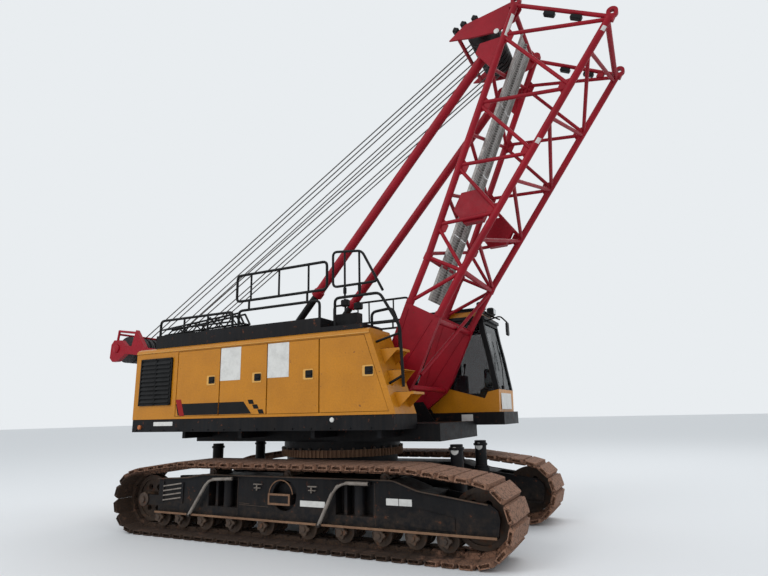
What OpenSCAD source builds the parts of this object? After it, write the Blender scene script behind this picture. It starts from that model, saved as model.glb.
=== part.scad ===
/* [Tracks] */
// Distance between the centres of a track's end wheels
track_centres = 5200; // [4800:10:5600]
// Outer radius of a track round its end wheels
end_r = 460; // [420:5:500]
// Height of the raised upper run
top_z = 1030; // [990:5:1100]
// Distance between the bends of the upper run
crest_len = 3440; // [3000:10:3800]
// Outer radius of those two bends
crest_r = 700; // [500:10:900]
// Width of a shoe
shoe_w = 800; // [700:10:900]
// Thickness of a shoe's plate
shoe_t = 60; // [40:1:70]
// Number of shoes in one track
shoe_n = 64; // [56:1:72]
// Depth of the links inside the shoes
link_t = 62; // [50:1:80]
// Width of the links
link_w = 250; // [200:5:260]
// Width over both tracks, drawn in as for transport
track_width = 3360; // [3200:10:3500]
// How far each track moves out to its working place
extend = 720; // [500:10:740]

/* [Track frame] */
// Width of a track frame
frame_w = 430; // [380:5:460]
// Thickness of its side plates
plate_t = 35; // [25:1:45]
// Height of its lower edge
frame_z = 300; // [285:1:320]
// Height of its top
frame_top = 870; // [820:5:900]
// Tread radius of a lower roller
roller_r = 115; // [100:1:120]
// Width of the ledge along its lower edge
ledge_w = 60; // [40:5:80]

/* [Carbody] */
// Distance between the two cross tubes
beam_gap = 2100; // [1900:10:2300]
// Width of a sliding beam
beam_w = 420; // [360:5:460]
// Height of a sliding beam
beam_h = 320; // [260:5:340]
// Height of the beams' centre line
beam_z = 670; // [640:5:690]
// Distance from the middle to a jack, forwards and backwards
jack_x = 2070; // [1900:10:2200]
// Distance from the middle to a jack, sideways
jack_y = 540; // [480:10:600]
// Outer radius of the slewing ring
ring_r = 945; // [900:5:980]
// Number of teeth round the ring
ring_teeth = 96; // [80:2:120]

/* [Upper body] */
// Rear end of the upper body, behind the slewing axis
tail_x = 3000; // [2800:10:3300]
// Half of the width over the hoods
hood_y = 1500; // [1450:5:1550]
// Width of a side hood
hood_w = 640; // [560:5:640]
// Height of the deck
deck_z = 1630; // [1600:5:1680]
// Thickness of the deck's edge
deck_t = 190; // [150:5:220]
// Top of the main frame between the decks
main_z = 1500; // [1460:5:1540]
// Height of the hoods' side panels
crease_z = 2670; // [2500:5:2800]
// Height of the hoods' roof
hood_top = 2740; // [2680:5:2900]
// Height of the rails' lower bar over the ground
rail_low = 3200; // [3150:5:3250]
// Height of the rails' upper bar over the ground
rail_top = 3750; // [3700:5:3800]
// Width of a door in the right hood
door_w = 869; // [800:1:900]
// Thickness of hood panels and doors
panel_t = 30; // [20:1:40]
// Gap round a door
door_gap = 6; // [5:1:9]

/* [Cab] */
// Front end of the cab
cab_front = 2340; // [2200:10:2500]
// Length of the cab
cab_len = 1590; // [1400:10:1700]
// Inner side of the cab
cab_y = 800; // [790:5:850]
// Width of the cab
cab_w = 900; // [850:5:950]
// Height of the cab's roof
cab_top = 3230; // [3100:5:3300]
// Height of the cab's yellow lower part
sill_z = 2050; // [2000:5:2100]
// Thickness of the cab's walls and door
wall_t = 50; // [35:1:60]

/* [Boom] */
// Distance of the boom's foot pin in front of the slewing axis
foot_x = 1020; // [950:5:1100]
// Height of the boom's foot pin
foot_z = 1720; // [1700:5:1800]
// Angle of the boom as it stands
boom_angle = 61; // [45:1:70]
// Length from the foot pin to the head pins
boom_len = 6150; // [5900:10:6400]
// Half of the distance between the chords' centres, sideways
chord_y = 720; // [700:5:730]
// Half of the boom's depth at its head
head_h = 700; // [600:5:760]
// Half of the boom's depth where the lacing begins
waist_h = 280; // [240:5:320]
// Radius of a chord
chord_r = 50; // [44:1:56]
// Radius of a lacing tube
lace_r = 27; // [20:1:30]

/* [Gantry and backstops] */
// Gantry pivot behind the slewing axis
gantry_x = 100; // [50:5:200]
// Height of the gantry pivot
gantry_z = 2300; // [2250:5:2400]
// Length from the pivot to the sheaves at its head
gantry_len = 4450; // [4300:10:4700]
// Angle of the folded gantry over the level
gantry_fold = 8.4; // [8:0.1:10]
// Radius of a hoist sheave
sheave_r = 250; // [220:5:260]
// Backstop foot behind the slewing axis
stop_x = 950; // [900:5:1000]
// Height of the backstop foot
stop_z = 2600; // [2550:5:2650]
// Place of the backstop's pin along the boom
stop_at = 5350; // [5200:10:5450]
// Distance of that pin over the boom's axis
stop_over = 900; // [850:5:950]
// Outer radius of a backstop tube
stop_r = 72; // [65:1:80]

/* [Hidden] */
$fn = 48;

BLACK = "#26282b";
YELLOW = "#d79a1c";
RED = "#a51f2e";
STEEL = "#8d9094";
RUST = "#6d4a38";
MUD = "#8a6a50";
GLASS = "#5a666b";
seat_gap = 0.3;
pin_gap = 0.5;
jack_r = 85;

// Derived places of the undercarriage
wheel_x = track_centres / 2;
crest_x = crest_len / 2;
track_y = track_width / 2 - shoe_w / 2;
belt_r = end_r - shoe_t;
chain_z = shoe_t + link_t;
roller_z = chain_z + seat_gap + roller_r;
half_w = frame_w / 2;
inner_w = half_w - plate_t;
pin_r = 36;
wheel_w = 110;
tube_wall = 30;
slide_gap = 8;
pad_w = 90;
tube_w = beam_w + 2 * (tube_wall + slide_gap);
tube_h = beam_h + 2 * (tube_wall + slide_gap);
tube_end = track_y - half_w - 60;
ring_z = 1050;
top_roller_x = [-1300, 0, 1450];
roller_x = [for (x = [335, 880, 1400, 1835, 2230]) each [-x, x]];
ring_split = 1150;
under_z = 1270;

// Pose of the side hoods
door_z0 = deck_z + 35;
door_z1 = crease_z - 22;
door_x = [for (i = [1:3]) -tail_x + 920 + i * door_w];
inner_y = hood_y - hood_w;
front_slant = 370;
hood_front = 1650;
function face_x(z) = hood_front - front_slant * (z - deck_z) / (hood_top - deck_z);

// A bar between two points
module bar(p, q, r) {
    d = q - p;
    len = norm(d);
    translate(p) rotate([0, acos(d[2] / len), atan2(d[1], d[0])]) cylinder(r = r, h = len);
}
// A pipe along a row of points, with a ball at each bend, in which its lengths end apart
ball_gap = 4;
module pipe(points, r) {
    last = len(points) - 2;
    for (i = [0:last]) {
        way = (points[i + 1] - points[i]) / norm(points[i + 1] - points[i]) * ball_gap;
        bar(points[i] + (i > 0 ? way : way * 0), points[i + 1] - (i < last ? way : way * 0), r);
    }
    for (i = [1:len(points) - 2]) translate(points[i]) sphere(r = r + 2);
}
function at_y(y, points) = [for (p = points) [p[0], y, p[1]]];
// A plate drawn in X and Z, standing across Y from y0 to y1
module across(y0, y1) { translate([0, y1, 0]) rotate([90, 0, 0]) linear_extrude(y1 - y0) children(); }
// A round bar along Y
module axle(x, z, r, y0, y1) { translate([x, y0, z]) rotate([-90, 0, 0]) cylinder(r = r, h = y1 - y0); }
module both_sides() { children(); mirror([0, 1, 0]) children(); }
module box(x0, x1, y0, y1, z0, z1) { translate([x0, y0, z0]) cube([x1 - x0, y1 - y0, z1 - z0]); }

// The track's belt: a line pulled round four circles, columns x, z, radius, counterclockwise
belt = [[wheel_x, end_r, belt_r], [crest_x, top_z - crest_r, crest_r - shoe_t],
    [-crest_x, top_z - crest_r, crest_r - shoe_t], [-wheel_x, end_r, belt_r]];
function leave(i) = let(a = belt[i], b = belt[(i + 1) % 4], d = [b[0] - a[0], b[1] - a[1]])
    atan2(d[1], d[0]) - acos((a[2] - b[2]) / norm(d));
function turn(i) = let(t = leave(i) - leave((i + 3) % 4)) t - 360 * floor(t / 360);
function on_circle(i, a) = [belt[i][0] + belt[i][2] * cos(a), belt[i][1] + belt[i][2] * sin(a)];
function arc_len(i) = belt[i][2] * turn(i) * PI / 180;
function run_len(i) = norm(on_circle((i + 1) % 4, leave(i)) - on_circle(i, leave(i)));
piece = [for (i = [0:3]) each [arc_len(i), run_len(i)]];
reach = [for (i = 0, s = 0; i <= 8; s = s + (i < 8 ? piece[i] : 0), i = i + 1) s];
belt_len = reach[8];
function wrap(s) = s - belt_len * floor(s / belt_len);
function which(s, i = 0) = (i >= 7 || s < reach[i + 1]) ? i : which(s, i + 1);
// Place on the belt at length s, moved outwards by out
function belt_at(s0, out) = let(s = wrap(s0), k = which(s), i = floor(k / 2), t = s - reach[k],
    a = k % 2 == 0 ? leave((i + 3) % 4) + t / belt[i][2] * 180 / PI : leave(i),
    p = k % 2 == 0 ? on_circle(i, a)
        : on_circle(i, a) + t / piece[k] * (on_circle((i + 1) % 4, a) - on_circle(i, a)))
    p + out * [cos(a), sin(a)];
pitch = belt_len / shoe_n;
// Closed outline of a ring whose outside and inside follow two short tables, columns share of pitch, depth
function ring_points(table) = [for (k = [0:shoe_n - 1]) for (c = table) belt_at((k + c[0]) * pitch, c[1])];
module belt_ring(outside, inside, width) {
    across(-width / 2, width / 2) difference() {
        polygon(ring_points(outside));
        polygon(ring_points(inside));
    }
}
module track() {
    color(RUST) {
        belt_ring([[0, shoe_t - 32], [0.07, shoe_t], [0.93, shoe_t]], [[0, 0]], shoe_w);
        belt_ring([[0, 6]], [[0, -link_t / 2], [0.14, -link_t], [0.86, -link_t]], link_w);
    }
}

// Side of a track frame, seen from the right, columns x, z
frame_end = 2300;
frame_top_line = [[1910, frame_top - 120], [1590, frame_top - 10], [-1420, frame_top - 20], [-1690, frame_top - 70],
    [-frame_end, frame_top - 100]];
frame_side = concat([[-frame_end, frame_z], [2830, frame_z], [2860, 490], [2840, 580], [2760, 640]], frame_top_line);
flange_t = 20;
step_y = -half_w - ledge_w - 12;
step_r = 22;
// Boarding bars on the outer side, columns x, z
step_bars = [[[-1600, frame_z + 10], [-1260, 790], [-830, 815]], [[580, frame_z + 10], [800, 730], [920, 815], [1290, 815]]];
module track_frame() {
    color(BLACK) {
        difference() {
            union() {
                across(-half_w, half_w) polygon(frame_side);
                box(-frame_end, 2830, -half_w - ledge_w, half_w + ledge_w, frame_z, frame_z + flange_t);
                across(-half_w - 25, half_w + 25)
                    polygon(concat(frame_top_line, [for (i = [4:-1:0]) frame_top_line[i] - [0, flange_t]]));
            }
            box(-3000, 3000, -inner_w, inner_w, 0, roller_z + roller_r + 60);
            for (x = top_roller_x) box(x - 100, x + 100, -inner_w, inner_w, frame_top - 110, frame_top + 1);
            box(wheel_x - 470, 3000, -inner_w, inner_w, 0, 1000);
            box(-3000, -1950, -inner_w, inner_w, 0, 1000);
            for (x = [-beam_gap / 2, beam_gap / 2]) box(x - 265, x + 265, -half_w - 1, -half_w + 150, 430, 790);
            axle(0, 620, 190, -half_w - 1, -half_w + 90);
        }
        // Round saddles over the rollers' ends
        for (x = roller_x) for (y = [-half_w, inner_w]) {
            box(x - 45, x + 45, y, y + plate_t, roller_z, frame_z + 1);
            axle(x, roller_z, 48, y, y + plate_t);
        }
        // Arms that carry the rear wheel
        for (y = [-half_w, inner_w]) box(-wheel_x - 70, -frame_end + 50, y, y + plate_t, 390, 530);
        // Sliding beams and the cylinders in the outer pockets
        for (x = [-beam_gap / 2, beam_gap / 2]) {
            box(x - beam_w / 2, x + beam_w / 2, half_w - 1, track_y - 60, beam_z - beam_h / 2, beam_z + beam_h / 2);
            translate([x + 40, -half_w + 76, 429]) cylinder(r = 70, h = 362);
            box(x - 150, x - 110, -half_w + 20, -half_w + 151, 429, 791);
        }
        // Box in the round opening
        box(-230, 110, -half_w - 40, -half_w + 90, 510, 640);
        // Boarding bars with stubs to the frame
        for (b = step_bars) {
            pipe(at_y(step_y, b), step_r);
            for (p = [b[len(b) - 1], b[len(b) - 2]]) axle(p[0], min(p[1], frame_top - 60), step_r - 3, step_y, -half_w + 5);
            axle(b[0][0], frame_z + 10, step_r + 8, step_y - 20, -half_w + 5);
        }
        // Slatted plate behind, and the plate over the front wheel
        across(-half_w - 14, -half_w + 1) {
            polygon([[-2230, 440], [-2190, 440], [-2190, 730], [-2230, 730]]);
            polygon([[-1840, 440], [-1800, 440], [-1800, 730], [-1840, 730]]);
            for (i = [0:3]) polygon([[-2195, 450 + 65 * i], [-1835, 500 + 65 * i], [-1835, 535 + 65 * i], [-2195, 485 + 65 * i]]);
        }
        across(-half_w - 10, -half_w + 1) polygon([[1510, 530], [1930, 550], [2350, 480], [2340, 340], [2040, 340], [1540, 380]]);
    }
}
module rollers() {
    color(RUST) {
        for (x = roller_x) roller(x, roller_z, roller_r);
        for (x = top_roller_x) roller(x, top_z - shoe_t - link_t - seat_gap - 40, 40);
    }
}
module roller(x, z, r) {
    for (s = [-1, 1]) {
        axle(x, z, r, s > 0 ? wheel_w / 2 + 8 : -link_w / 2 - 10, s > 0 ? link_w / 2 + 10 : -wheel_w / 2 - 8);
        axle(x, z, r + 22, s > 0 ? link_w / 2 + 9 : -link_w / 2 - 35, s > 0 ? link_w / 2 + 35 : -link_w / 2 - 9);
    }
    axle(x, z, pin_r, -inner_w + seat_gap, inner_w - seat_gap);
}
module end_wheel(x) {
    rim = (belt_r - link_t) * cos(0.36 * pitch / belt_r * 180 / PI) - seat_gap;
    difference() {
        axle(x, end_r, rim, -wheel_w / 2, wheel_w / 2);
        for (s = [-1, 1]) axle(x, end_r, rim - 55, s > 0 ? 30 : -wheel_w, s > 0 ? wheel_w : -30);
        for (a = [0:60:300]) axle(x + 175 * cos(a), end_r + 175 * sin(a), 45, -50, 50);
    }
    axle(x, end_r, 95, -inner_w + seat_gap, inner_w - seat_gap);
}
module end_wheels() { color(RUST) for (s = [-1, 1]) end_wheel(s * wheel_x); }
module place_right() { translate([0, -track_y, 0]) children(); }
module place_left() { mirror([0, 1, 0]) place_right() children(); }
module side_frame_right() { place_right() track_frame(); }
module side_frame_left() { place_left() track_frame(); }
module track_right() { place_right() track(); }
module track_left() { place_left() track(); }
module rollers_right() { place_right() rollers(); }
module rollers_left() { place_left() rollers(); }
module end_wheels_right() { place_right() end_wheels(); }
module end_wheels_left() { place_left() end_wheels(); }

module carbody() {
    color(BLACK) {
        for (x = [-beam_gap / 2, beam_gap / 2]) difference() {
            box(x - tube_w / 2, x + tube_w / 2, -tube_end, tube_end, beam_z - tube_h / 2, beam_z + tube_h / 2);
            box(x - beam_w / 2 - slide_gap, x + beam_w / 2 + slide_gap, -tube_end + pad_w, tube_end - pad_w,
                beam_z - beam_h / 2 - slide_gap, beam_z + beam_h / 2 + slide_gap);
            box(x - beam_w / 2 - seat_gap, x + beam_w / 2 + seat_gap, -tube_end - 1, tube_end + 1,
                beam_z - beam_h / 2 - seat_gap, beam_z + beam_h / 2 + seat_gap);
        }
        box(-beam_gap / 2 + tube_w / 2 - 1, beam_gap / 2 - tube_w / 2 + 1, -700, 700, beam_z - tube_h / 2, beam_z + tube_h / 2);
        translate([0, 0, beam_z + tube_h / 2 - 1])
            cylinder(r = track_y - shoe_w / 2 - 20, h = ring_z - beam_z - tube_h / 2 + 1);
        for (sx = [-1, 1]) for (sy = [-1, 1]) {
            // Arm with a collar round the jack
            difference() {
                union() {
                    bar([sx * (beam_gap / 2 + tube_w / 2 - 30), sy * jack_y, beam_z + 60], [sx * jack_x, sy * jack_y, beam_z + 60], 75);
                    translate([sx * jack_x, sy * jack_y, beam_z - 40]) cylinder(r = jack_r + 30, h = 200);
                }
                translate([sx * jack_x, sy * jack_y, 0]) cylinder(r = jack_r + seat_gap, h = 2000);
            }
        }
    }
}
module jacks() {
    color(BLACK) for (sx = [-1, 1]) for (sy = [-1, 1]) translate([sx * jack_x, sy * jack_y, 0]) {
        translate([0, 0, 480]) cylinder(r = jack_r, h = 740);
        translate([0, 0, 420]) cylinder(r = 60, h = 61);
        translate([0, 0, 395]) cylinder(r = 130, h = 26);
    }
}
module slewing_ring() {
    step = 360 / ring_teeth;
    color(MUD) translate([0, 0, ring_z]) linear_extrude(ring_split - ring_z) difference() {
        polygon([for (k = [0:ring_teeth - 1]) for (c = [[0, -26], [0.2, -26], [0.32, 0], [0.62, 0], [0.75, -26]])
            (ring_r + c[1]) * [cos((k + c[0]) * step), sin((k + c[0]) * step)]]);
        circle(r = ring_r - 170);
    }
}

drum_x = [300, -430, -1130];
drum_z = deck_z + 370;
drum_r = 320;
cheek_y = 410;
shaft_r = 60;
foot_w = 80;
foot_pin_r = 55;
side_y = 780;
cab_rear = cab_front - cab_len;
module revolving_frame() {
    color(BLACK) {
        box(-2300, 1950, -800, 800, under_z, main_z);
        translate([0, 0, ring_split + seat_gap]) cylinder(r = ring_r - 40, h = under_z - ring_split);
        // Side decks, tail deck and the brackets under them
        box(-tail_x, hood_front - 30, -hood_y + 10, -side_y, deck_z - deck_t, deck_z);
        box(-tail_x, cab_rear - 50, side_y, hood_y - 10, deck_z - deck_t, deck_z);
        box(cab_rear - 60, cab_front + 60, side_y, cab_y + cab_w - 10, deck_z - deck_t, deck_z);
        box(-tail_x, -1480, -side_y - 1, side_y + 1, deck_z - deck_t, deck_z);
        for (x = [-2000, -900, 350, 1350]) box(x - 30, x + 30, -hood_y + 130, hood_y - 130, under_z + 70, deck_z - deck_t + 1);
        for (s = [-1, 1]) {
            // Boom foot brackets with their pins
            for (y = [chord_y - foot_w / 2 - 55, chord_y + foot_w / 2 + 10]) across(s > 0 ? y : -y - 25, s > 0 ? y + 25 : -y)
                polygon([[foot_x - 300, main_z - 1], [foot_x + 300, main_z - 1], [foot_x + 110, foot_z + 90],
                    [foot_x - 110, foot_z + 90]]);
            axle(foot_x, foot_z, foot_pin_r, s * chord_y - 74, s * chord_y + 74);
            // Gantry brackets
            for (y = [640, 770]) across(s > 0 ? y : -y - 30, s > 0 ? y + 30 : -y)
                polygon([[-gantry_x - 260, main_z - 1], [-gantry_x + 260, main_z - 1], [-gantry_x + 90, gantry_z + 90],
                    [-gantry_x - 90, gantry_z + 90]]);
            axle(-gantry_x, gantry_z, 45, s > 0 ? 650 : -790, s > 0 ? 790 : -650);
            // Backstop feet
            for (y = [stop_y - 90, stop_y + 65]) across(s > 0 ? y : -y - 25, s > 0 ? y + 25 : -y)
                polygon([[-stop_x - 120, main_z + seat_gap], [-stop_x + 160, main_z + seat_gap], [-stop_x + 90, stop_z + 90],
                    [-stop_x - 90, stop_z + 90]]);
            // Winch cheeks
            for (x = drum_x) difference() {
                across(s > 0 ? cheek_y : -cheek_y - 30, s > 0 ? cheek_y + 30 : -cheek_y)
                    polygon([[x - 250, main_z + seat_gap], [x + 250, main_z + seat_gap], [x + 110, drum_z + 110], [x - 110, drum_z + 110]]);
                axle(x, drum_z, shaft_r + seat_gap, -hood_y, hood_y);
            }
        }
    }
}
module engine() { color(STEEL) box(-tail_x + 250, -tail_x + 1400, -450, 450, deck_z + seat_gap, deck_z + 560); }

// Outline of the right hood across the machine, columns y and z, and of the hollow in it
lid_over = 12;
hood_outer = [[-hood_y, deck_z], [-hood_y, crease_z - 10], [-hood_y - lid_over, crease_z - 10], [-hood_y - lid_over, crease_z + 12],
    [-hood_y + 8, crease_z + 46], [-hood_y + 60, hood_top], [-inner_y, hood_top], [-inner_y, deck_z]];
hood_inner = [[-hood_y + panel_t, deck_z + panel_t], [-hood_y + panel_t, crease_z - 12], [-hood_y + 78, hood_top - panel_t],
    [-inner_y - panel_t, hood_top - panel_t], [-inner_y - panel_t, deck_z + panel_t]];
module along(x0, x1) { translate([x0, 0, 0]) rotate([90, 0, 90]) linear_extrude(x1 - x0) children(); }
// Everything before the slanted front, moved back by t
module ahead(t) { across(-hood_y - 50, -inner_y + 50) polygon([[face_x(deck_z - 50) - t, deck_z - 50], [hood_front + 90, deck_z - 50],
    [hood_front + 90, hood_top + 50], [face_x(hood_top + 50) - t, hood_top + 50]]); }
// Pivot pins over and under a door, at the middle of its rounded rear edge
module door_pin(x, over, gap) {
    translate([x + door_gap + panel_t / 2, -hood_y + panel_t / 2, door_z0 - over])
        cylinder(r = door_pin_r + gap, h = door_z1 - door_z0 + 2 * over);
}
door_pin_r = 8;
door_start = [for (x = door_x) x - door_w];
front_door_x = door_x[2];
door_edge = 84;
module door_hole(x, w) { box(x, x + w, -hood_y - 5, -hood_y + panel_t + 25, door_z0, door_z1); }
module hood_right() {
    color(YELLOW) difference() {
        along(-tail_x, hood_front) polygon(hood_outer);
        difference() {
            along(-tail_x + panel_t, hood_front) polygon(hood_inner);
            ahead(panel_t);
        }
        ahead(0);
        for (x = door_start) door_hole(x, door_w);
        across(-hood_y - 5, -hood_y + panel_t + 25) polygon([[front_door_x, door_z0], [face_x(door_z0) - door_edge, door_z0],
            [face_x(door_z1) - door_edge, door_z1], [front_door_x, door_z1]]);
        for (x = concat(door_start, [front_door_x])) door_pin(x, 21, pin_gap / 2);
    }
}
// The rounded rear edge of a door and its pins
module door_edge_rear(x) {
    translate([x + door_gap + panel_t / 2, -hood_y + panel_t / 2, door_z0 + door_gap])
        cylinder(r = panel_t / 2, h = door_z1 - door_z0 - 2 * door_gap);
    door_pin(x, 20, 0);
}
module hood_door(i) {
    color(YELLOW) {
        box(door_start[i] + door_gap + panel_t / 2, door_x[i] - door_gap, -hood_y, -hood_y + panel_t, door_z0 + door_gap, door_z1 - door_gap);
        door_edge_rear(door_start[i]);
    }
}
module hood_door_1() { hood_door(0); }
module hood_door_2() { hood_door(1); }
module hood_door_3() { hood_door(2); }
module hood_door_4() {
    color(YELLOW) {
        across(-hood_y, -hood_y + panel_t) polygon([[front_door_x + door_gap + panel_t / 2, door_z0 + door_gap],
            [face_x(door_z0) - door_edge - door_gap, door_z0 + door_gap], [face_x(door_z1) - door_edge - door_gap, door_z1 - door_gap],
            [front_door_x + door_gap + panel_t / 2, door_z1 - door_gap]]);
        door_edge_rear(front_door_x);
    }
}
module hood_left() {
    color(YELLOW) mirror([0, 1, 0]) difference() {
        along(-tail_x, cab_rear - 70) polygon(hood_outer);
        along(-tail_x + panel_t, cab_rear - 70 - panel_t) polygon(hood_inner);
        door_hole(door_start[1], door_w);
        door_pin(door_start[1], 21, pin_gap / 2);
    }
}
module hood_door_left() { mirror([0, 1, 0]) hood_door(1); }
rear_hood_z = hood_top - 440;
module rear_hood() {
    color(YELLOW) difference() {
        box(-tail_x, -1500, -inner_y + seat_gap, inner_y - seat_gap, deck_z, rear_hood_z);
        box(-tail_x + panel_t, -1500 - panel_t, -inner_y + panel_t, inner_y - panel_t, deck_z - 1, rear_hood_z - panel_t);
    }
}
slat_n = 11;
module louvre_right() {
    color(BLACK) difference() {
        box(-tail_x + 130, -tail_x + 820, -hood_y - 12, -hood_y - seat_gap, 1840, 2550);
        for (i = [0:slat_n - 1]) across(-hood_y - 13, -hood_y - 5)
            polygon([[-tail_x + 160, 1866 + i * 61], [-tail_x + 790, 1866 + i * 61], [-tail_x + 790, 1896 + i * 61], [-tail_x + 160, 1896 + i * 61]]);
    }
}
tray_y = hood_y - 60;
tray_floor = hood_top + 20;
module walkway_right() {
    color(BLACK) {
        // Columns: rear end, front end, height of the rim
        for (t = [[-2660, 510, 210], [509, 1180, 70]]) difference() {
            box(t[0], t[1], -tray_y, -inner_y - 10, hood_top + seat_gap, hood_top + t[2]);
            box(t[0] + 10, t[1] - 10, -tray_y + 10, -inner_y - 20, tray_floor, hood_top + t[2] + 1);
        }
        box(540, 890, -1080, -930, tray_floor - 1, hood_top + 300);
    }
}
rail_r = 20;
rail_y = tray_y - 38;
// Rails of the walkway, columns x and z, each a row of points
function low_rail(z) = [[-980, z], [-980, rail_low - 80], [-900, rail_low], [390, rail_low], [470, rail_low - 80], [470, z]];
tall_rail = [[-1030, rail_top - 315], [-1030, rail_top - 90], [-940, rail_top], [500, rail_top], [590, rail_top - 90],
    [590, rail_top - 315], [500, rail_top - 405], [-940, rail_top - 405], [-1030, rail_top - 315], [-1030, rail_top - 313]];
front_rail = [[720, tray_floor + seat_gap], [720, rail_low - 60], [790, rail_low], [1410, rail_low], [1510, rail_low - 190],
    [1690, 2730], [1720, 1960]];
front_tall = [[690, rail_low + 160], [690, rail_top + 60], [800, rail_top + 120], [1170, rail_top + 50], [1390, rail_low + 160],
    [690, rail_low + 160], [690, rail_low + 162]];
rear_rail = [[-2620, tray_floor + seat_gap], [-2620, rail_low - 80], [-2540, rail_low], [-1180, rail_low], [-1100, rail_low - 80],
    [-1100, tray_floor + seat_gap]];
step_x = face_x(2430);
small_rail = [[1130, tray_floor + seat_gap], [1130, 2960], [1180, 3010], [1410, 3030], [1490, 2950], [1540, 2790],
    [step_x + 165, 2430 + 30 + 2]];
module main_rails(y, z) {
    pipe(at_y(y, low_rail(z)), rail_r);
    pipe(at_y(y, tall_rail), rail_r);
    for (x = [-760, -240, 280]) bar([x, y, rail_top - 405], [x, y, rail_top], rail_r - 5);
    for (x = [-790, 260]) bar([x, y, rail_low], [x, y, rail_top - 405], rail_r - 3);
}
module handrails_right() {
    color(BLACK) {
        main_rails(-rail_y, tray_floor + seat_gap);
        pipe(at_y(-rail_y, front_rail), rail_r);
        pipe(at_y(-rail_y, front_tall), rail_r - 2);
        for (p = [[880, 105], [1110, 61]]) bar([p[0], -rail_y, rail_low + rail_r + seat_gap], [p[0], -rail_y, rail_top + p[1]], rail_r - 5);
        for (p = [[2550, 1697], [2010, 1718]]) bar([face_x(p[0] - 16) + seat_gap, -rail_y, p[0]], [p[1], -rail_y, p[0]], 16);
        pipe(at_y(-rail_y, rear_rail), rail_r);
        bar([-2620, -rail_y, rail_low - 150], [-1100, -rail_y, rail_low - 150], rail_r - 6);
        for (x = [-2100, -1600]) bar([x, -rail_y, tray_floor + seat_gap], [x, -rail_y, rail_low], rail_r - 4);
        pipe(at_y(-hood_y + 400, small_rail), rail_r);
        bar([1130, -hood_y + 400, 2850], [1526, -hood_y + 400, 2850], rail_r - 4);
    }
}
module handrails_left() { color(BLACK) main_rails(rail_y, hood_top + seat_gap); }
module boarding_steps() {
    color(YELLOW) for (z = [1870, 2430]) {
        across(-1350, -1000) polygon([[face_x(z) + seat_gap, z], [face_x(z) + 260, z],
            [face_x(z) + 260, z + 30], [face_x(z + 30) + seat_gap, z + 30]]);
        for (y = [-1350, -1012]) across(y, y + 12)
            polygon([[face_x(z - 160) + seat_gap, z - 160], [face_x(z) + 230, z + 1], [face_x(z) + seat_gap, z + 1]]);
    }
}
module drum(i) {
    color(STEEL) {
        axle(drum_x[i], drum_z, 190, -400, 400);
        axle(drum_x[i], drum_z, shaft_r, -cheek_y - 30, cheek_y + 30);
        for (s = [-1, 1]) axle(drum_x[i], drum_z, drum_r, s > 0 ? 370 : -400, s > 0 ? 400 : -370);
    }
}
module drum_front() { drum(0); }
module drum_middle() { drum(1); }
module drum_rear() { drum(2); }

// The cab's side: front edge from the floor to the roof, and the seam between yellow and black, columns x and z
cab_floor = deck_z + seat_gap;
cab_eaves = cab_top - 130;
seam = [[cab_rear, sill_z], [cab_rear + 620, sill_z], [cab_front - 230, sill_z - 210], [cab_front - 180, sill_z - 110],
    [cab_front, sill_z - 75]];
cab_low = concat([[cab_rear, cab_floor], [cab_front - 10, cab_floor], [cab_front, sill_z - 75]], [for (i = [3:-1:0]) seam[i]]);
raise = [0, seat_gap];
cab_high = concat([for (p = seam) p + raise], [[cab_front - 90, 2530], [cab_front - 150, 2830], [cab_front - 190, cab_eaves],
    [cab_rear, cab_eaves]]);
cab_hollow = [[cab_rear + wall_t, deck_z + 60], [cab_front - wall_t - 10, deck_z + 60], [cab_front - wall_t, sill_z - 75],
    [cab_front - wall_t - 92, 2530], [cab_front - wall_t - 152, 2830], [cab_front - wall_t - 190, cab_eaves + 1],
    [cab_rear + wall_t, cab_eaves + 1]];
side_window = [[cab_rear + 110, sill_z - 30], [cab_rear + 615, sill_z - 30], [cab_front - 235, sill_z - 240], [cab_front - 190, sill_z - 140],
    [cab_front - 70, sill_z - 110], [cab_front - 165, 2530], [cab_front - 225, 2830], [cab_front - 260, cab_eaves - 60],
    [cab_rear + 110, cab_eaves - 60]];
cab_door_x = cab_rear + 626 + wall_t / 2;
door_bottom = deck_z + 90;
door_head = cab_eaves - 50;
module cab_openings() {
    box(cab_rear + 620, cab_front - 235, cab_y + cab_w - wall_t - 1, cab_y + cab_w + 1, door_bottom, door_head);
    cab_door_pin(pin_gap / 2);
    box(cab_front - 340, cab_front + 100, cab_y + 70, cab_y + cab_w - 70, sill_z - 70, cab_eaves - 60);
    box(cab_front - 200, cab_front + 100, cab_y + 120, cab_y + cab_w - 120, deck_z + 90, sill_z - 160);
    box(cab_rear - 1, cab_rear + wall_t + 1, cab_y + 120, cab_y + cab_w - 120, 2150, cab_eaves - 60);
}
module cab_shell() {
    color(YELLOW) difference() {
        across(cab_y, cab_y + cab_w) polygon(cab_low);
        across(cab_y + wall_t, cab_y + cab_w - wall_t) polygon(cab_hollow);
        cab_openings();
    }
}
module cab_frame() {
    color(BLACK) difference() {
        across(cab_y, cab_y + cab_w) polygon(cab_high);
        across(cab_y + wall_t, cab_y + cab_w - wall_t) polygon(cab_hollow);
        across(cab_y - 1, cab_y + wall_t + 1) polygon(side_window);
        cab_openings();
    }
}
module cab_roof() {
    top = cab_eaves + seat_gap;
    color(YELLOW) {
        difference() {
            across(cab_y - 10, cab_y + cab_w + 10) polygon([[cab_rear - 20, top], [cab_front - 170, top], [cab_front - 215, cab_top - 40],
                [cab_front - 300, cab_top], [cab_rear + 40, cab_top], [cab_rear - 20, cab_top - 40]]);
            box(cab_rear + wall_t, cab_front - wall_t - 250, cab_y + wall_t, cab_y + cab_w - wall_t, top - 1, cab_top - wall_t);
        }
    }
}
glass_in = 20;
glass_t = 6;
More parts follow.
